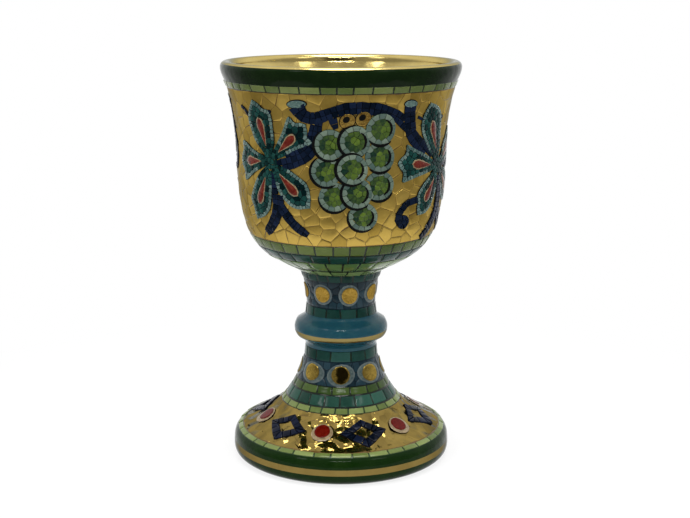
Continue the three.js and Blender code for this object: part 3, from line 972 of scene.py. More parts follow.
# One side of a leaf's lobe, as shares of its length and half its width.
ROUND_SIDE = [(0.05, 0.14), (0.18, 0.45), (0.34, 0.76), (0.52, 0.98), (0.7, 1.0), (0.87, 0.66), (1.0, 0.0)]
NOTCHED_SIDE = [(0.05, 0.14), (0.18, 0.45), (0.34, 0.74), (0.54, 0.96), (0.74, 1.0), (0.82, 0.62),
                (0.91, 0.4), (1.0, 0.0)]
FAN_SIDE = [(0.05, 0.14), (0.3, 0.42), (0.55, 0.72), (0.77, 0.98), (0.87, 1.0), (0.87, 0.58), (0.94, 0.32),
            (1.0, 0.0)]
EDGE_WAVE = 0.2


def lobe_outline(direction, length, width, left_side, right_side, draw):
    """One lobe of a vine leaf, pointing away from the leaf's middle, with a slightly wavy edge."""
    sides = []
    for shape in (left_side, right_side):
        side = through([(x * length, y * width / 2) for x, y in shape], 4)
        waves = np.sin(np.linspace(0, draw.uniform(4, 6) * math.pi, len(side)) + draw.uniform(0, 6))
        side[1:-1, 1] += EDGE_WAVE * waves[1:-1]
        sides.append(side)
    lower = sides[1] * (1, -1)
    return turned_about(np.concatenate([lower[:-1], sides[0][::-1]]), direction)


def disc(middle, radius, corners, draw=None, wobble=0.0):
    turn = np.linspace(0, 2 * math.pi, corners, endpoint=False)
    reach = radius * np.ones(corners)
    if draw is not None:
        waves = wobble * np.sin(2 * turn + draw.uniform(0, 6))
        reach += waves + 0.5 * wobble * np.sin(3 * turn + draw.uniform(0, 6))
    return np.stack([middle[0] + reach * np.cos(turn), middle[1] + reach * np.sin(turn)], axis=1)


def ribbon(path, widths, lanes):
    """Quads along a path with its full width at each point. Lanes run from -0.5 to 0.5 across it."""
    path = np.asarray(path, float)
    left = left_of(np.gradient(path, axis=0))
    offset = np.asarray(lanes)[None, :] * np.asarray(widths)[:, None]
    grid = path[:, None, :] + left[:, None, :] * offset[..., None]
    quads = []
    for i in range(len(path) - 1):
        for j in range(len(lanes) - 1):
            quads.append([tuple(grid[place]) for place in ((i, j), (i + 1, j), (i + 1, j + 1), (i, j + 1))])
    return quads


def even_path(points, pitch, draw=None):
    """A smooth path through the points, cut into stretches of about the pitch."""
    stray = 0.18
    line = through(points, 12)
    run = run_along(line)
    count = max(2, int(round(run[-1] / pitch)))
    marks = np.linspace(0, run[-1], count + 1)
    if draw is not None:
        marks[1:-1] += drawn(draw, -stray, stray, count - 1) * pitch
    return np.stack([np.interp(marks, run, line[:, k]) for k in (0, 1)], axis=1)


BOWL_CHART = Chart(*BOWL_GOLD)
FOOT_CHART = Chart(*FOOT_GOLD)
ON_BOWL = (BOWL_CHART, "gilt_glaze")
ON_FOOT = (FOOT_CHART, "foot_glaze")

# The three vine leaves round the bowl, by angle from the front and height. Each lobe is a direction,
# a length, a width and the shapes of its two sides.
LEAVES = [(-39.3, 132.3), (63.1, 129.0), (189.0, 131.5)]
LEFT_LOBES = [(107.0, 25.0, 13.4, ROUND_SIDE, NOTCHED_SIDE), (43.0, 22.6, 13.0, FAN_SIDE, FAN_SIDE),
              (184.0, 20.6, 15.6, FAN_SIDE, FAN_SIDE), (247.0, 27.4, 12.0, ROUND_SIDE, NOTCHED_SIDE),
              (314.0, 25.0, 12.0, ROUND_SIDE, ROUND_SIDE)]
RIGHT_LOBES = [(111.0, 28.0, 13.6, ROUND_SIDE, ROUND_SIDE), (173.0, 25.0, 14.4, FAN_SIDE, FAN_SIDE),
               (237.0, 23.4, 11.4, ROUND_SIDE, NOTCHED_SIDE), (30.0, 21.0, 13.0, FAN_SIDE, FAN_SIDE),
               (318.0, 24.0, 11.6, ROUND_SIDE, ROUND_SIDE)]
LEAF_LOBES = [LEFT_LOBES, RIGHT_LOBES, LEFT_LOBES]
HEART_RADIUS = 3.4

# Width of the outer row of tesserae and of the rows inside it.
HEART_TESSERAE = (1.6, 1.7)
LOBE_TESSERAE = (1.25, 2.1)
GRAPE_TESSERAE = (2.2, 1.8)
KNOB_TESSERAE = (1.5, 1.6)

# The pale edge of a lobe starts at this share of its length. Its vein runs between two shares of it.
PALE_FROM = 0.36
VEIN_SPAN = (0.27, 0.7)
VEIN_WIDTH = 3.3
VEIN_THICKEST = 0.7
VEIN_HEIGHT = 0.14

# Grapes of a bunch, as angle from its middle, height, and how far forward each lies.
BUNCHES = [7.0, 127.0, 247.0]
GRAPES = [(-12.6, 140.0, 1.2), (0.0, 141.3, 2.0), (13.2, 145.9, 2.2), (-14.6, 129.5, 0.9), (-1.4, 130.4, 3.0),
          (13.2, 135.0, 1.0), (-10.5, 119.4, 0.5), (1.3, 120.8, 1.6), (13.1, 123.6, 0.6), (4.8, 111.2, 0.2)]
GRAPE_RADIUS = 6.1
GRAPE_OVERLAP = 0.6
GRAPE_STEP = 0.2

# Tone in the middle of a core, its fall to the grape's edge, how far chance moves it, and its rise for
# each millimetre across and up.
CORE_TONE = 0.95
CORE_FALL = 1.25
CORE_SPREAD = 0.5
CORE_RISE = (0.06, -0.03)

# Black brush line outside each grape: the middle of the stroke and half its length, as angles.
GRAPE_BRUSH = [(215, 95), (195, 108), (265, 48), (215, 95), (185, 130), (272, 46), (250, 72), (212, 105),
               (280, 55), (235, 82)]
CORE_BRUSH = (1, 2, 4, 5, 7, 8, 9)
STROKE_LANES = (-0.5, -0.4, 0.0, 0.4, 0.5)
STROKE_STEPS = 25

# Vine stems, as angle and height. Angles count from the middle of the bunch or the leaf. Heights count
# from the table, and for what grows from a leaf, from the leaf's middle.
ARCH = [(-28.7, 155.0), (-27.3, 152.6), (-24.6, 150.7), (-19.4, 150.4), (-13.5, 151.9), (-6.3, 153.8),
        (0.7, 154.4), (8.0, 154.0), (15.7, 152.7), (24.5, 149.3), (29.6, 145.0)]
ARCH_STUB = [(29.0, 154.6), (29.4, 151.0), (30.4, 146.6), (33.5, 141.5)]
FREE_SHOOT = [(36.6, 136.6), (37.4, 131.6), (34.8, 127.6), (30.6, 127.4)]
ARCH_DROP = [(-18.6, 150.0), (-20.0, 145.0), (-21.3, 140.3), (-24.5, 137.0), (-29.4, 134.6)]
BUNCH_STALK = [(-11.8, 152.2), (-10.6, 148.8), (-9.4, 146.2)]
STALK = [(3.3, -4.0), (4.2, -13.0), (3.0, -20.0), (-2.2, -26.0), (-8.2, -29.8)]
STALK_FORK = [(4.6, -17.0), (10.5, -23.0), (15.4, -26.5), (20.8, -29.0)]
TENDRIL = [(-17.5, -12.6), (-24.6, -13.4), (-29.0, -16.2), (-30.6, -19.6), (-29.4, -22.0)]
TENDRIL_KNOB = (-26.8, -21.2)
TENDRIL_KNOB_RADIUS = 3.1
LEAF_TICKS = [[(-21.1, 20.8), (-17.2, 19.4), (-14.2, 16.6)], [(1.8, 20.4), (0.9, 18.8), (-0.6, 17.4)]]
BERRIES = [(-3.9, 149.4), (3.9, 150.2)]
BERRY_LEAN = 40

# Length of a tessera along a stem, width of a row of them, how much the widths of a stem differ, and how
# much it narrows at its very end. A finer pitch tells where a stem lies.
VINE_PITCH = 2.3
VINE_FINE_PITCH = 0.5
VINE_ROW = 2.4
STEM_WIDTHS = (0.93, 1.06)
STEM_END = 0.7

# How far inside another motif the middle of a tessera or a tile has to lie to be left out.
LOBE_TUCK = 0.4
STEM_TUCK = 0.7
PATH_TUCK = 1.2
GROUND_TUCK = 2.4

# How much wider a stem is over its first steps, where it ends in a cut.
WIDE_MOUTH = (1.5, 1.3, 1.1)
SHORT_MOUTH = (1.15, 1.1, 1.0)
PLAIN_MOUTH = (1.0,)


def shifted(path, degrees, rise=0.0):
    return [(a + degrees, z + rise) for a, z in path]


def on_bowl(path):
    return [BOWL_CHART.at(a, z) for a, z in path]


def covered(spot, outlines, margin):
    """Whether a flat spot lies inside one of the outlines and at least the margin from its edge."""
    for outline in outlines:
        away, inside = edge_distance([spot], outline)
        if inside[0] and away[0] > margin:
            return True
    return False


def leaf_piece(index):
    """A vine leaf: a heart and five lobes of teal tesserae with a pale outer row, and red veins."""
    draw = random.Random(40 + index)
    middle = np.array(BOWL_CHART.at(*LEAVES[index]))
    outlines = [disc(middle, HEART_RADIUS, corners=20)]
    cells = [polygon for polygon, _ in contour_cells(outlines[0], *HEART_TESSERAE, draw)]
    kinds = [1] * len(cells)
    for direction, length, *shape in LEAF_LOBES[index]:
        outline = lobe_outline(direction, length, *shape, draw) + middle
        for polygon, row in contour_cells(outline, *LOBE_TESSERAE, draw):
            spot = np.mean(polygon, axis=0)
            if covered(spot, outlines, LOBE_TUCK):
                continue
            cells.append(polygon)
            kinds.append(0 if row == 0 and np.linalg.norm(spot - middle) > PALE_FROM * length else 1)
        outlines.append(outline)
    piece = flat_sheet(f"leaf_{index + 1}", cells, [LEAF_EDGE, LEAF_TEAL, NAVY_JOINT], 60 + index, kinds)
    set_tiles(piece, NAVY_JOINT, LEAF_CUT, LEAF_BED, ON_BOWL, 70 + index, even=False)
    leaf_veins(index, middle)
    return outlines


def leaf_veins(index, middle):
    """Red enamel drops down the middle of each lobe, each on a thin pale ground."""
    share = np.linspace(0, 1, 15)
    outer_end = np.clip((share - VEIN_THICKEST) / (1 - VEIN_THICKEST), 0, 1)
    drop = np.where(share < VEIN_THICKEST, (share / VEIN_THICKEST) ** 0.85, np.sqrt(1 - outer_end ** 2))
    for label, material, grow, base in (("vein_edge", BLUSH, 0.5, 0.61), ("vein", VEIN_RED, 0.0, 0.71)):
        quads = []
        for direction, length, *_ in LEAF_LOBES[index]:
            along = np.linspace(VEIN_SPAN[0] * length - grow, VEIN_SPAN[1] * length + grow, len(share))
            path = turned_about(np.stack([along, np.zeros_like(along)], axis=1), direction) + middle
            quads += ribbon(path, np.maximum((VEIN_WIDTH + 2 * grow) * drop, 0.1), STROKE_LANES)
        name = f"leaf_{label}_{index + 1}"
        enamel(name, quads, material, ON_BOWL, dome_sheet, VEIN_HEIGHT, base, 80 + index, border=0)


def bunch_piece(index):
    """A bunch of grapes: each a green mosaic core in a pale ring, the upper ones over the lower ones.
    A core is lightest in its middle, and a little lighter to the lower right."""
    draw = random.Random(100 + index)
    cells = []
    kinds = []
    lifts = []
    tones = []
    outlines = []
    middles = [np.array(BOWL_CHART.at(BUNCHES[index] + a, z)) for a, z, _ in GRAPES]
    for middle, (_, _, level) in zip(middles, GRAPES):
        outline = disc(middle, GRAPE_RADIUS, corners=36, draw=draw, wobble=0.12)
        outlines.append(outline)
        over = [m for m, (_, _, other) in zip(middles, GRAPES) if other > level]
        for polygon, row in contour_cells(outline, *GRAPE_TESSERAE, draw):
            spot = np.mean(polygon, axis=0)
            tone = draw.random()
            if any(np.linalg.norm(spot - m) < GRAPE_RADIUS - GRAPE_OVERLAP for m in over):
                continue
            if row > 0:
                reach = np.linalg.norm(spot - middle) / GRAPE_RADIUS
                side = np.dot(spot - middle, CORE_RISE)
                tone = CORE_TONE - CORE_FALL * reach + CORE_SPREAD * (tone - 0.5) + side
            cells.append(polygon)
            kinds.append(min(row, 1))
            lifts.append(GRAPE_STEP * level)
            tones.append(tone)
    finishes = [GRAPE_RING, GRAPE_GREEN, GRAPE_JOINT]
    piece = flat_sheet(f"grapes_{index + 1}", cells, finishes, 110 + index, kinds, tones)
    set_tiles(piece, GRAPE_JOINT, GRAPE_CUT, GRAPE_BED, ON_BOWL, 5, even=False, lifts=lifts)
    grape_lines(index, middles, draw)
    return outlines


def grape_lines(index, middles, draw):
    """Black brush lines: a stroke outside each grape and, on most, a short one beside its core.
    A stroke is its reach from the middle, its place and half its length as angles, its width and its lift."""
    outer_reach = GRAPE_RADIUS + 0.2
    core_reach = 4.1
    core_span = 55
    core_stray = 18
    thinnest = 0.15
    quads = []
    lifts = []
    swelling = np.cos(np.linspace(-math.pi / 2, math.pi / 2, STROKE_STEPS)) ** 0.7
    for i, (middle, (_, _, level)) in enumerate(zip(middles, GRAPES)):
        strokes = [(outer_reach, *GRAPE_BRUSH[i], 1.25, 0.16)]
        if i in CORE_BRUSH:
            strokes.append((core_reach, draw.uniform(-core_stray, core_stray), core_span, 0.95, 0.24))
        for reach, side, span, thick, lift in strokes:
            turn = np.radians(np.linspace(side - span, side + span, STROKE_STEPS))
            path = middle + reach * np.stack([np.cos(turn), np.sin(turn)], axis=1)
            own = ribbon(path, thinnest + thick * swelling, STROKE_LANES)
            quads += own
            lifts += [GRAPE_STEP * level + lift] * len(own)
    enamel(f"grape_lines_{index + 1}", quads, BLACK, ON_BOWL, dome_sheet, 0.06, GRAPE_BED[2], 120 + index,
           border=0.3, lifts=lifts)


def near_path(spot, laid):
    """Whether a flat spot lies well inside a stem that is already laid."""
    return any(np.linalg.norm(line - spot, axis=1).min() < width / 2 - PATH_TUCK for line, width in laid)


def vine_stems(index):
    """The stems round one bunch and its left leaf: path, first and last width, and how the start widens."""
    at = BUNCHES[index]
    left_leaf = LEAVES[index]
    drop_end = (left_leaf[0] + 4.0, left_leaf[1] - 0.5)
    ticks = [(shifted(tick, *left_leaf), 1.4, 1.0, PLAIN_MOUTH) for tick in LEAF_TICKS]
    stub_end = shifted(FREE_SHOOT, at)
    stub_width = 2.6
    tendril = []
    if index < 2:
        right_leaf = LEAVES[index + 1]
        stub_end = [(right_leaf[0] - 4.0, right_leaf[1] + 1.0)]
        stub_width = 6.8
        tendril = [(shifted(TENDRIL, *right_leaf), 2.8, 3.4, PLAIN_MOUTH)]
    return [
        (shifted(ARCH_STUB, at) + stub_end, 4.9, stub_width, SHORT_MOUTH),
        (shifted(ARCH, at), 4.6, 5.0, WIDE_MOUTH),
        (shifted(ARCH_DROP, at) + [drop_end], 4.6, 8.4, PLAIN_MOUTH),
        (shifted(BUNCH_STALK, at), 3.6, 2.8, PLAIN_MOUTH),
        (shifted(STALK, *left_leaf), 6.0, 4.6, PLAIN_MOUTH),
        (shifted(STALK_FORK, *left_leaf), 4.6, 3.8, PLAIN_MOUTH), *ticks, *tendril]


def vine_piece(index, motifs):
    """The navy vine over one bunch, with cut ends, and the berries that hang from it."""
    draw = random.Random(140 + index)
    cells = []
    laid = []
    for path, first, last, mouth in vine_stems(index):
        line = even_path(on_bowl(path), VINE_PITCH, draw)
        widths = np.linspace(first, last, len(line)) * drawn(draw, *STEM_WIDTHS, len(line))
        widths[:len(mouth)] *= mouth
        widths[-1] *= STEM_END
        rows = max(1, round((first + last) / (2 * VINE_ROW)))
        for quad in ribbon(line, widths, np.linspace(-0.5, 0.5, rows + 1)):
            spot = np.mean(quad, axis=0)
            if not covered(spot, motifs, STEM_TUCK) and not near_path(spot, laid):
                cells.append(quad)
        laid.append((even_path(on_bowl(path), VINE_FINE_PITCH), (first + last) / 2))
    if index < 2:
        knob_at = on_bowl(shifted([TENDRIL_KNOB], *LEAVES[index + 1]))[0]
        knob = contour_cells(disc(knob_at, TENDRIL_KNOB_RADIUS, corners=18), *KNOB_TESSERAE, draw)
        cells += [polygon for polygon, _ in knob]
    piece = flat_sheet(f"vine_{index + 1}", cells, [NAVY, NAVY_JOINT], 150 + index)
    set_tiles(piece, NAVY_JOINT, VINE_CUT, VINE_BED, ON_BOWL, 160 + index)
    cut_ends(index)
    berries(index)


def oval_quads(middle, size, tilt):
    """A round patch of quads, in rings from its middle, all but the middle fan four-sided."""
    spokes = 28
    reaches = (0.0, 0.35, 0.62, 0.82, 0.93, 1.0)
    turn = np.linspace(0, 2 * math.pi, spokes, endpoint=False)
    unit = np.stack([np.cos(turn) * size[0], np.sin(turn) * size[1]], axis=1)
    rings = [turned_about(unit * reach, tilt) + middle for reach in reaches]
    quads = []
    for inner, outer, reach in zip(rings[:-1], rings[1:], reaches[:-1]):
        for i in range(spokes):
            j = (i + 1) % spokes
            far_side = [outer[i], outer[j]]
            corners = [middle, *far_side] if reach == 0 else [inner[i], *far_side, inner[j]]
            quads.append([tuple(corner) for corner in corners])
    return quads


def cut_ends(index):
    """Pale ovals where the pruned vine shows its cut wood, each in a dark line."""
    for label, material, (wide, tall), base, height in (("cut_lines", NAVY_JOINT, (4.1, 1.75), 0.44, 0.08),
                                                        ("cut_ends", LEAF_EDGE, (3.75, 1.4), 0.5, 0.12)):
        quads = []
        for (a, z), lean, share in ((ARCH[0], 4, 1.0), (ARCH_STUB[0], -4, 0.78)):
            middle = np.array(BOWL_CHART.at(BUNCHES[index] + a, z)) + (0, 0.7)
            quads += oval_quads(middle, (share * wide, tall), lean)
        enamel(f"{label}_{index + 1}", quads, material, ON_BOWL, bead_swell, height, base, 170 + index)


def berries(index):
    """Two small gold berries with dark middles under the arch of the vine."""
    for label, material, size, base, height, shift in (
            ("outlines", BLACK, (3.35, 2.95), 0.42, 0.1, (0, 0)),
            ("berries", BERRY_GOLD, (3.0, 2.6), 0.5, 0.25, (0, 0)),
            ("berry_eyes", BLACK, (1.5, 1.2), 0.72, 0.06, (-0.4, 0.6))):
        quads = []
        for a, z in BERRIES:
            middle = np.array(BOWL_CHART.at(BUNCHES[index] + a, z)) + shift
            quads += oval_quads(middle, size, BERRY_LEAN)
        enamel(f"{label}_{index + 1}", quads, material, ON_BOWL, bead_swell, height, base, 180 + index)


# Gold ground: irregular tiles that fill what the motifs leave.
GROUND_TRIES = 9000


def ground_seeds(chart, band, size, motifs, draw):
    """Seeds set along the motifs first and then spread over the rest of the band."""
    low, high = chart.ends(band)
    half = chart.round / 2
    wide, tall = size
    off_motif = 1.7
    motif_margin = 1
    motif_spacing = 0.8
    edge_margin = 0.8
    spacing = 0.86
    seeds = np.empty((0, 2))

    def far_enough(spot, share):
        if len(seeds) == 0:
            return True
        across = np.abs(seeds[:, 0] - spot[0])
        across = np.minimum(across, chart.round - across)
        return np.hypot(across / wide, (seeds[:, 1] - spot[1]) / tall).min() > share

    for outline in motifs:
        middle = outline.mean(axis=0)
        for corner in outline:
            away = corner - middle
            spot = corner + away / np.linalg.norm(away) * off_motif
            spot[0] = (spot[0] + half) % chart.round - half
            if low + motif_margin < spot[1] < high - motif_margin and far_enough(spot, motif_spacing):
                seeds = np.vstack([seeds, spot])
    for _ in range(GROUND_TRIES):
        spot = np.array([draw.uniform(-half, half), draw.uniform(low + edge_margin, high - edge_margin)])
        if far_enough(spot, spacing):
            seeds = np.vstack([seeds, spot])
    return seeds


def ground_piece(name, site, band, size, seed, cut, lean, finishes, motifs=(), hidden=()):
    """Tiles of a ground, set along its motifs. Tiles that hidden outlines cover well are left out."""
    chart = site[0]
    seeds = ground_seeds(chart, band, size, motifs, random.Random(seed))
    round_seeds = np.vstack([seeds, seeds + (chart.round, 0), seeds - (chart.round, 0)])
    low, high = chart.ends(band)
    reach = 3.2 * max(size)
    shortest = 0.4
    slimmest = 0.6
    hides = np.zeros(len(seeds), bool)
    for outline in hidden:
        for turn in (-chart.round, 0, chart.round):
            away, inside = edge_distance(seeds + (turn, 0), outline)
            hides |= inside & (away > GROUND_TUCK)
    cells = []
    for spot in seeds[~hides]:
        distance = np.linalg.norm(round_seeds - spot, axis=1)
        near = [tuple(round_seeds[k]) for k in np.argsort(distance) if 0 < distance[k] < reach]
        left = spot[0] - reach
        right = spot[0] + reach
        limits = [(left, low), (right, low), (right, high), (left, high)]
        cells.append(cell(tuple(spot), near, limits, shortest, slimmest))
    piece = flat_sheet(name, [polygon for polygon in cells if polygon], finishes, seed)
    set_tiles(piece, finishes[1], cut, (0, lean, BED_LIFT), site, seed)


# Beads, drops and lozenges.
RING_EDGE = 0.55
FOOT_REPEATS = 6
DROP_AT = (-13.5, 18.7)
LOZENGE_AT = (16.5, 18.4)
LOZENGE = (10.2, 7.4)
LOZENGE_FRAME = 0.43

# Joints along a side of a lozenge, and how far they stray, as shares of the side.
LOZENGE_JOINTS = (0.25, 0.5, 0.75)
LOZENGE_STRAY = 0.03

# How much the beads of a row and the drops differ: lean in degrees, width, height, and shift of the gold.
BEAD_LEAN = 14
BEAD_WIDTHS = (0.94, 1.06)
BEAD_HEIGHTS = (0.95, 1.05)
BEAD_SHIFT = (0.35, 0.2)
DROP_LEAN = 20
DROP_WIDTHS = (0.95, 1.05)


def bead_row(name, band, level, count, first, ring_size, gold_size, gold_finish, slot, seed):
    """Gilt oval beads, each in a slate ring with a paler edge."""
    chart = Chart(*band)
    ring_inside = (ring_size[0] - RING_EDGE, ring_size[1] - RING_EDGE)
    for label, material, size, base, height in (("edges", SLATE_EDGE, ring_size, 0.1, 0.22),
                                                ("rings", SLATE, ring_inside, 0.28, 0.12),
                                                ("beads", gold_finish, gold_size, 0.4, 0.3)):
        draw = random.Random(seed)
        quads = []
        for k in range(count):
            middle = np.array(chart.at(first + 360 * k / count, level))
            tilt = draw.uniform(-BEAD_LEAN, BEAD_LEAN)
            grow = np.array([draw.uniform(*BEAD_WIDTHS), draw.uniform(*BEAD_HEIGHTS)])
            shift = [draw.uniform(-most, most) for most in BEAD_SHIFT] if label == "beads" else (0, 0)
            quads += oval_quads(middle + shift, grow * size, tilt)
        enamel(f"{name}_{label}", quads, material, (chart, slot), bead_swell, height, base, seed)


def foot_places(start):
    """Flat places of a motif that repeats round the foot, from the angle and height of the first."""
    degrees, level = start
    return [np.array(FOOT_CHART.at(degrees + 360 / FOOT_REPEATS * k, level)) for k in range(FOOT_REPEATS)]


def foot_drops():
    """Red enamel drops on the gold of the foot, each on a pale drop that is thicker below."""
    for label, material, (wide, tall), base, height, down in (("rings", BLUSH, (4.5, 4.6), 0.44, 0.18, 0.5),
                                                              ("drops", RED, (3.3, 3.5), 0.6, 0.3, 0.0)):
        quads = []
        draw = random.Random(210)
        for middle in foot_places(DROP_AT):
            size = (wide * draw.uniform(*DROP_WIDTHS), tall)
            quads += oval_quads(middle - (0, down), size, draw.uniform(-DROP_LEAN, DROP_LEAN))
        enamel(f"foot_{label}", quads, material, ON_FOOT, bead_swell, height, base, 211)


def lozenge_corners():
    """Corners of a lozenge about its middle."""
    wide, tall = LOZENGE
    return np.array([(wide, 0), (0, tall), (-wide, 0), (0, -tall)])


def foot_lozenges():
    """Open lozenges of navy tesserae on the gold of the foot."""
    draw = random.Random(220)
    corners = lozenge_corners()
    cells = []
    for middle in foot_places(LOZENGE_AT):
        for a, b in zip(corners, np.roll(corners, -1, axis=0)):
            side = b - a
            inset = (LOZENGE_FRAME - 1) * np.dot(a, side) / np.dot(side, side)
            strays = [share + draw.uniform(-LOZENGE_STRAY, LOZENGE_STRAY) for share in LOZENGE_JOINTS]
            cuts = [0.0, *strays, 1.0]
            inner_cuts = [min(max((cut - inset) / LOZENGE_FRAME, 0.0), 1.0) for cut in cuts]
            outer = [a + side * cut for cut in cuts]
            inner = [LOZENGE_FRAME * (a + side * cut) for cut in inner_cuts]
            for i in range(len(cuts) - 1):
                block = [outer[i], outer[i + 1], inner[i + 1], inner[i]]
                cells.append(plain([tuple(p + middle) for p in block]))
    piece = flat_sheet("foot_lozenges", cells, [FOOT_NAVY, NAVY_JOINT], 221)
    set_tiles(piece, NAVY_JOINT, LOZENGE_CUT, LOZENGE_BED, ON_FOOT, 222)


# The whole cup.

bowl_body()
stem_body()
knop_body()
foot_body()

for slip in ("lower_knop_slip", "upper_knop_slip", "bowl_slip"):
    node = frame["nodes"][slip]
    for place in node.material_slots:
        place.material = CLAY

tile_row("rim_tiles", RIM_TILES, 41, PALE_GREEN, GREEN_JOINT, "gilt_glaze", 1)
tile_row("bowl_green_tiles", BOWL_GREEN_TILES, 36, LEAF_GREEN, GREEN_JOINT, "gilt_glaze", 2)
tile_row("bowl_teal_tiles", BOWL_TEAL_TILES, 29, DARK_TEAL, GREEN_JOINT, "gilt_glaze", 3)
tile_row("bowl_low_tiles", BOWL_LOW_TILES, 25, DEEP_GREEN, GREEN_JOINT, "gilt_glaze", 4)
tile_row("collar_green_tiles", COLLAR_GREEN_TILES, 20, DEEP_GREEN, GREEN_JOINT, "gilt_glaze", 5)
tile_row("collar_teal_tiles", COLLAR_TEAL_TILES, 20, DARK_TEAL, GREEN_JOINT, "teal_glaze", 6, SLIP_BED_LIFT)
tile_row("stem_teal_tiles", STEM_TEAL_TILES, 14, TEAL, GREEN_JOINT, "teal_glaze", 7)
tile_row("neck_teal_tiles", NECK_TEAL_TILES, 13, TEAL, GREEN_JOINT, "foot_glaze", 8)
tile_row("foot_green_tiles", FOOT_GREEN_TILES, 17, FOOT_GREEN, GREEN_JOINT, "foot_glaze", 9)
tile_row("foot_teal_tiles", FOOT_TEAL_TILES, 20, BLUE_TEAL, GREEN_JOINT, "foot_glaze", 10)
tile_row("foot_pale_tiles", FOOT_PALE_TILES, 25, FOOT_PALE, FOOT_JOINT, "foot_glaze", 11)
tile_row("foot_edge_tiles", FOOT_EDGE_TILES, 35, FOOT_PALE, FOOT_JOINT, "foot_glaze", 12)

bowl_motifs = []
for number in range(len(LEAVES)):
    bowl_motifs += leaf_piece(number)
    bowl_motifs += bunch_piece(number)
for number in range(len(LEAVES)):
    vine_piece(number, bowl_motifs)

ground_piece("bowl_gold", ON_BOWL, BOWL_GOLD, (6.2, 4.4), 300, BOWL_GOLD_CUT, 0.017,
             (SATIN_GOLD, BROWN_JOINT), bowl_motifs, bowl_motifs)
foot_motifs = [middle + lozenge_corners() for middle in foot_places(LOZENGE_AT)]
ground_piece("foot_gold", ON_FOOT, FOOT_GOLD, (4.4, 3.4), 310, FOOT_GOLD_CUT, 0.016,
             (FOOT_LUSTRE, FOOT_SEAM), foot_motifs)
for name, band, slot, seed in (("stem_navy", STEM_NAVY, "teal_glaze", 320),
                               ("neck_navy", NECK_NAVY, "foot_glaze", 330)):
    ground_piece(name, (Chart(*band), slot), band, (3.0, 3.6), seed, NAVY_CUT, 0.02, (NAVY_BAND, NAVY_JOINT))
bead_row("stem", STEM_NAVY, 72.9, 8, 13.0, (4.55, 4.6), (3.4, 3.55), STEM_BEAD_GOLD, "teal_glaze", 230)
bead_row("neck", NECK_NAVY, 38.8, 8, 0.0, (6.3, 4.5), (4.05, 3.7), BEAD_GOLD, "foot_glaze", 240)
foot_drops()
foot_lozenges()


# Studio: pale floor, soft light, white surroundings.

def white_share(tree):
    """One where a camera, mirror or glass ray looks, so that these see the white background."""
    rays = tree.add("LightPath", {})
    seen = tree.math("MAXIMUM", rays["Is Camera Ray"], rays["Is Glossy Ray"])
    return tree.math("MAXIMUM", seen, rays["Is Transmission Ray"])


# The floor is a narrow table top that ends a little in front of the cup, out of the picture. Rays that
# see the background see it as white too, and fully so from the second of two distances on.
FLOOR_DEPTH = 2.0
FLOOR_WIDTH = 0.44
FLOOR_FRONT = 0.16
FLOOR_GREY = (0.86, 0.86, 0.86, 1)
FLOOR_FADE = (0.06, 0.24)
FLOOR_WHITE = (0.8, 1.0)


def studio_floor():
    bpy.ops.mesh.primitive_plane_add(size=1, location=(0, 0, 0))
    floor = bpy.context.object
    floor.name = "studio_floor"
    edit(floor)
    bpy.ops.transform.resize(value=(FLOOR_WIDTH, FLOOR_DEPTH, 1))
    bpy.ops.transform.translate(value=(0, FLOOR_DEPTH / 2 - FLOOR_FRONT, 0))
    done()
    material = bpy.data.materials.new("pale_floor")
    material.use_nodes = True
    tree = Tree(material.node_tree)
    shader = tree.fill(tree.nodes["Principled BSDF"], {"Base Color": FLOOR_GREY, "Roughness": 0.9})
    place = tree.add("TexCoord", {})["Object"]
    reach = tree.add("VectorMath", {0: place}, operation="LENGTH")["Value"]
    fade = tree.ramp(reach, FLOOR_FADE, FLOOR_WHITE, "SMOOTHSTEP")
    white = tree.math("MULTIPLY", white_share(tree), fade)
    glow = tree.add("Emission", {})["Emission"]
    blend = tree.add("MixShader", {"Fac": white, 1: shader.outputs["BSDF"], 2: glow})
    tree.fill(tree.nodes["Material Output"], {"Surface": blend["Shader"]})
    floor.data.materials.append(material)


# The white of the surroundings lies behind and over the cup, in this direction. The span is how far the
# light of the room and then the full white reach round from it.
BRIGHT_SIDE = (0.0, 0.72, 0.69)
BRIGHT_SPAN = (-0.15, 0.7)
ROOM_LEVEL = 0.36
BACK_LEVEL = 0.9

# The camera and who holds it stand dark before the room: their direction from the cup, how wide they
# look from it, and how much of the room's light they leave.
DARK_SIDE = (0.05, -0.965, 0.257)
DARK_SPAN = (math.cos(math.radians(20)), math.cos(math.radians(15)))
DARK_SHARE = 0.06


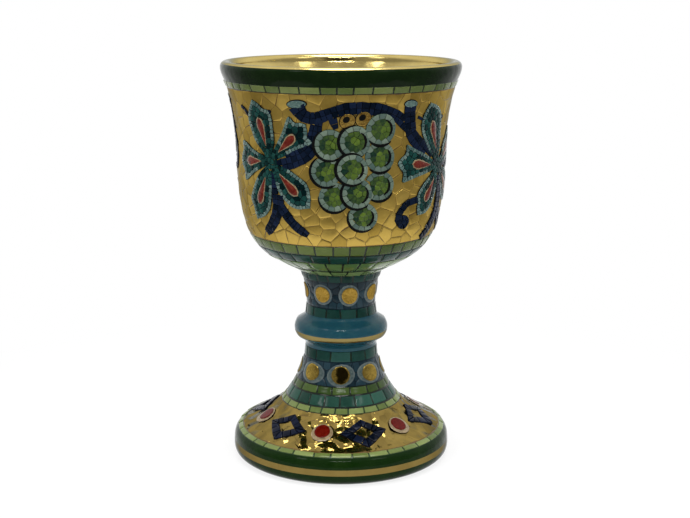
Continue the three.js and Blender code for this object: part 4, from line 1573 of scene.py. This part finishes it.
def studio_world():
    """White behind and over the cup, which mirrors on it show too, and a dim room behind the camera."""
    world = bpy.data.worlds.new("studio_world")
    bpy.context.scene.world = world
    world.use_nodes = True
    tree = Tree(world.node_tree)
    place = tree.add("TexCoord", {})["Generated"]

    def towards(side, span, levels):
        facing = tree.add("VectorMath", {0: place, 1: side}, operation="DOT_PRODUCT")["Value"]
        return tree.ramp(facing, span, levels, "SMOOTHSTEP")

    backdrop = towards(BRIGHT_SIDE, BRIGHT_SPAN, (0.0, 1.0))
    figure = towards(DARK_SIDE, DARK_SPAN, (1.0, DARK_SHARE))
    room = tree.ramp(backdrop, (0.0, 1.0), (ROOM_LEVEL, BACK_LEVEL))
    dimmed = tree.math("MULTIPLY", room, figure)
    mirrored = tree.math("MULTIPLY", white_share(tree), backdrop)
    white = tree.math("MAXIMUM", tree.add("LightPath", {})["Is Camera Ray"], mirrored)
    level = tree.add("Mix", {"Factor": white, "A": dimmed, "B": 1.0}, data_type="FLOAT")["Result"]
    tree.fill(tree.nodes["Background"], {"Color": (1, 1, 1, 1), "Strength": level})


def soft_box(name, place, aim, size, power, mirrored=True):
    """An oblong lamp. One that isn't mirrored lights the cup but makes no bright patch on its glaze."""
    lamp = bpy.data.lights.new(name, "AREA")
    lamp.shape = "RECTANGLE"
    lamp.size, lamp.size_y = size
    lamp.energy = power
    box = bpy.data.objects.new(name, lamp)
    bpy.context.collection.objects.link(box)
    box.location = place
    box.rotation_euler = (Vector(aim) - Vector(place)).to_track_quat("-Z", "Y").to_euler()
    box.visible_glossy = mirrored


# Where the camera stands, how far it looks down, its lens, and how far the picture is shifted sideways.
CAMERA_PLACE = (0, -0.547, 0.202)
CAMERA_DOWN = 12.022
CAMERA_LENS = 68.06
CAMERA_SENSOR = 36.0
CAMERA_SHIFT = 4.0 / 690


def studio_camera():
    lens = bpy.data.cameras.new("camera")
    lens.sensor_width = CAMERA_SENSOR
    lens.lens = CAMERA_LENS
    lens.shift_x = CAMERA_SHIFT
    camera = bpy.data.objects.new("camera", lens)
    bpy.context.collection.objects.link(camera)
    camera.location = CAMERA_PLACE
    camera.rotation_euler = (math.radians(90 - CAMERA_DOWN), 0, 0)
    bpy.context.scene.camera = camera


studio_floor()
studio_world()
soft_box("overhead_box", (0.0, -0.08, 1.0), (0, 0, 0.08), (0.5, 0.42), 6.4)
soft_box("left_fill", (-0.62, -0.78, 0.7), (0, 0, 0.09), (0.6, 0.6), 5.0, mirrored=False)
soft_box("right_fill", (0.62, -0.78, 0.7), (0, 0, 0.09), (0.6, 0.6), 4.1, mirrored=False)
soft_box("left_glint", (-0.62, -0.6, 0.8), (0, 0, 0.06), (0.22, 0.22), 0.7)
soft_box("right_glint", (0.62, -0.6, 0.8), (0, 0, 0.06), (0.22, 0.22), 0.5)
soft_box("front_strip", (0.0, -0.85, 0.72), (0, 0, 0.05), (0.4, 0.016), 1.6)
studio_camera()
bpy.context.scene.view_settings.view_transform = "Standard"
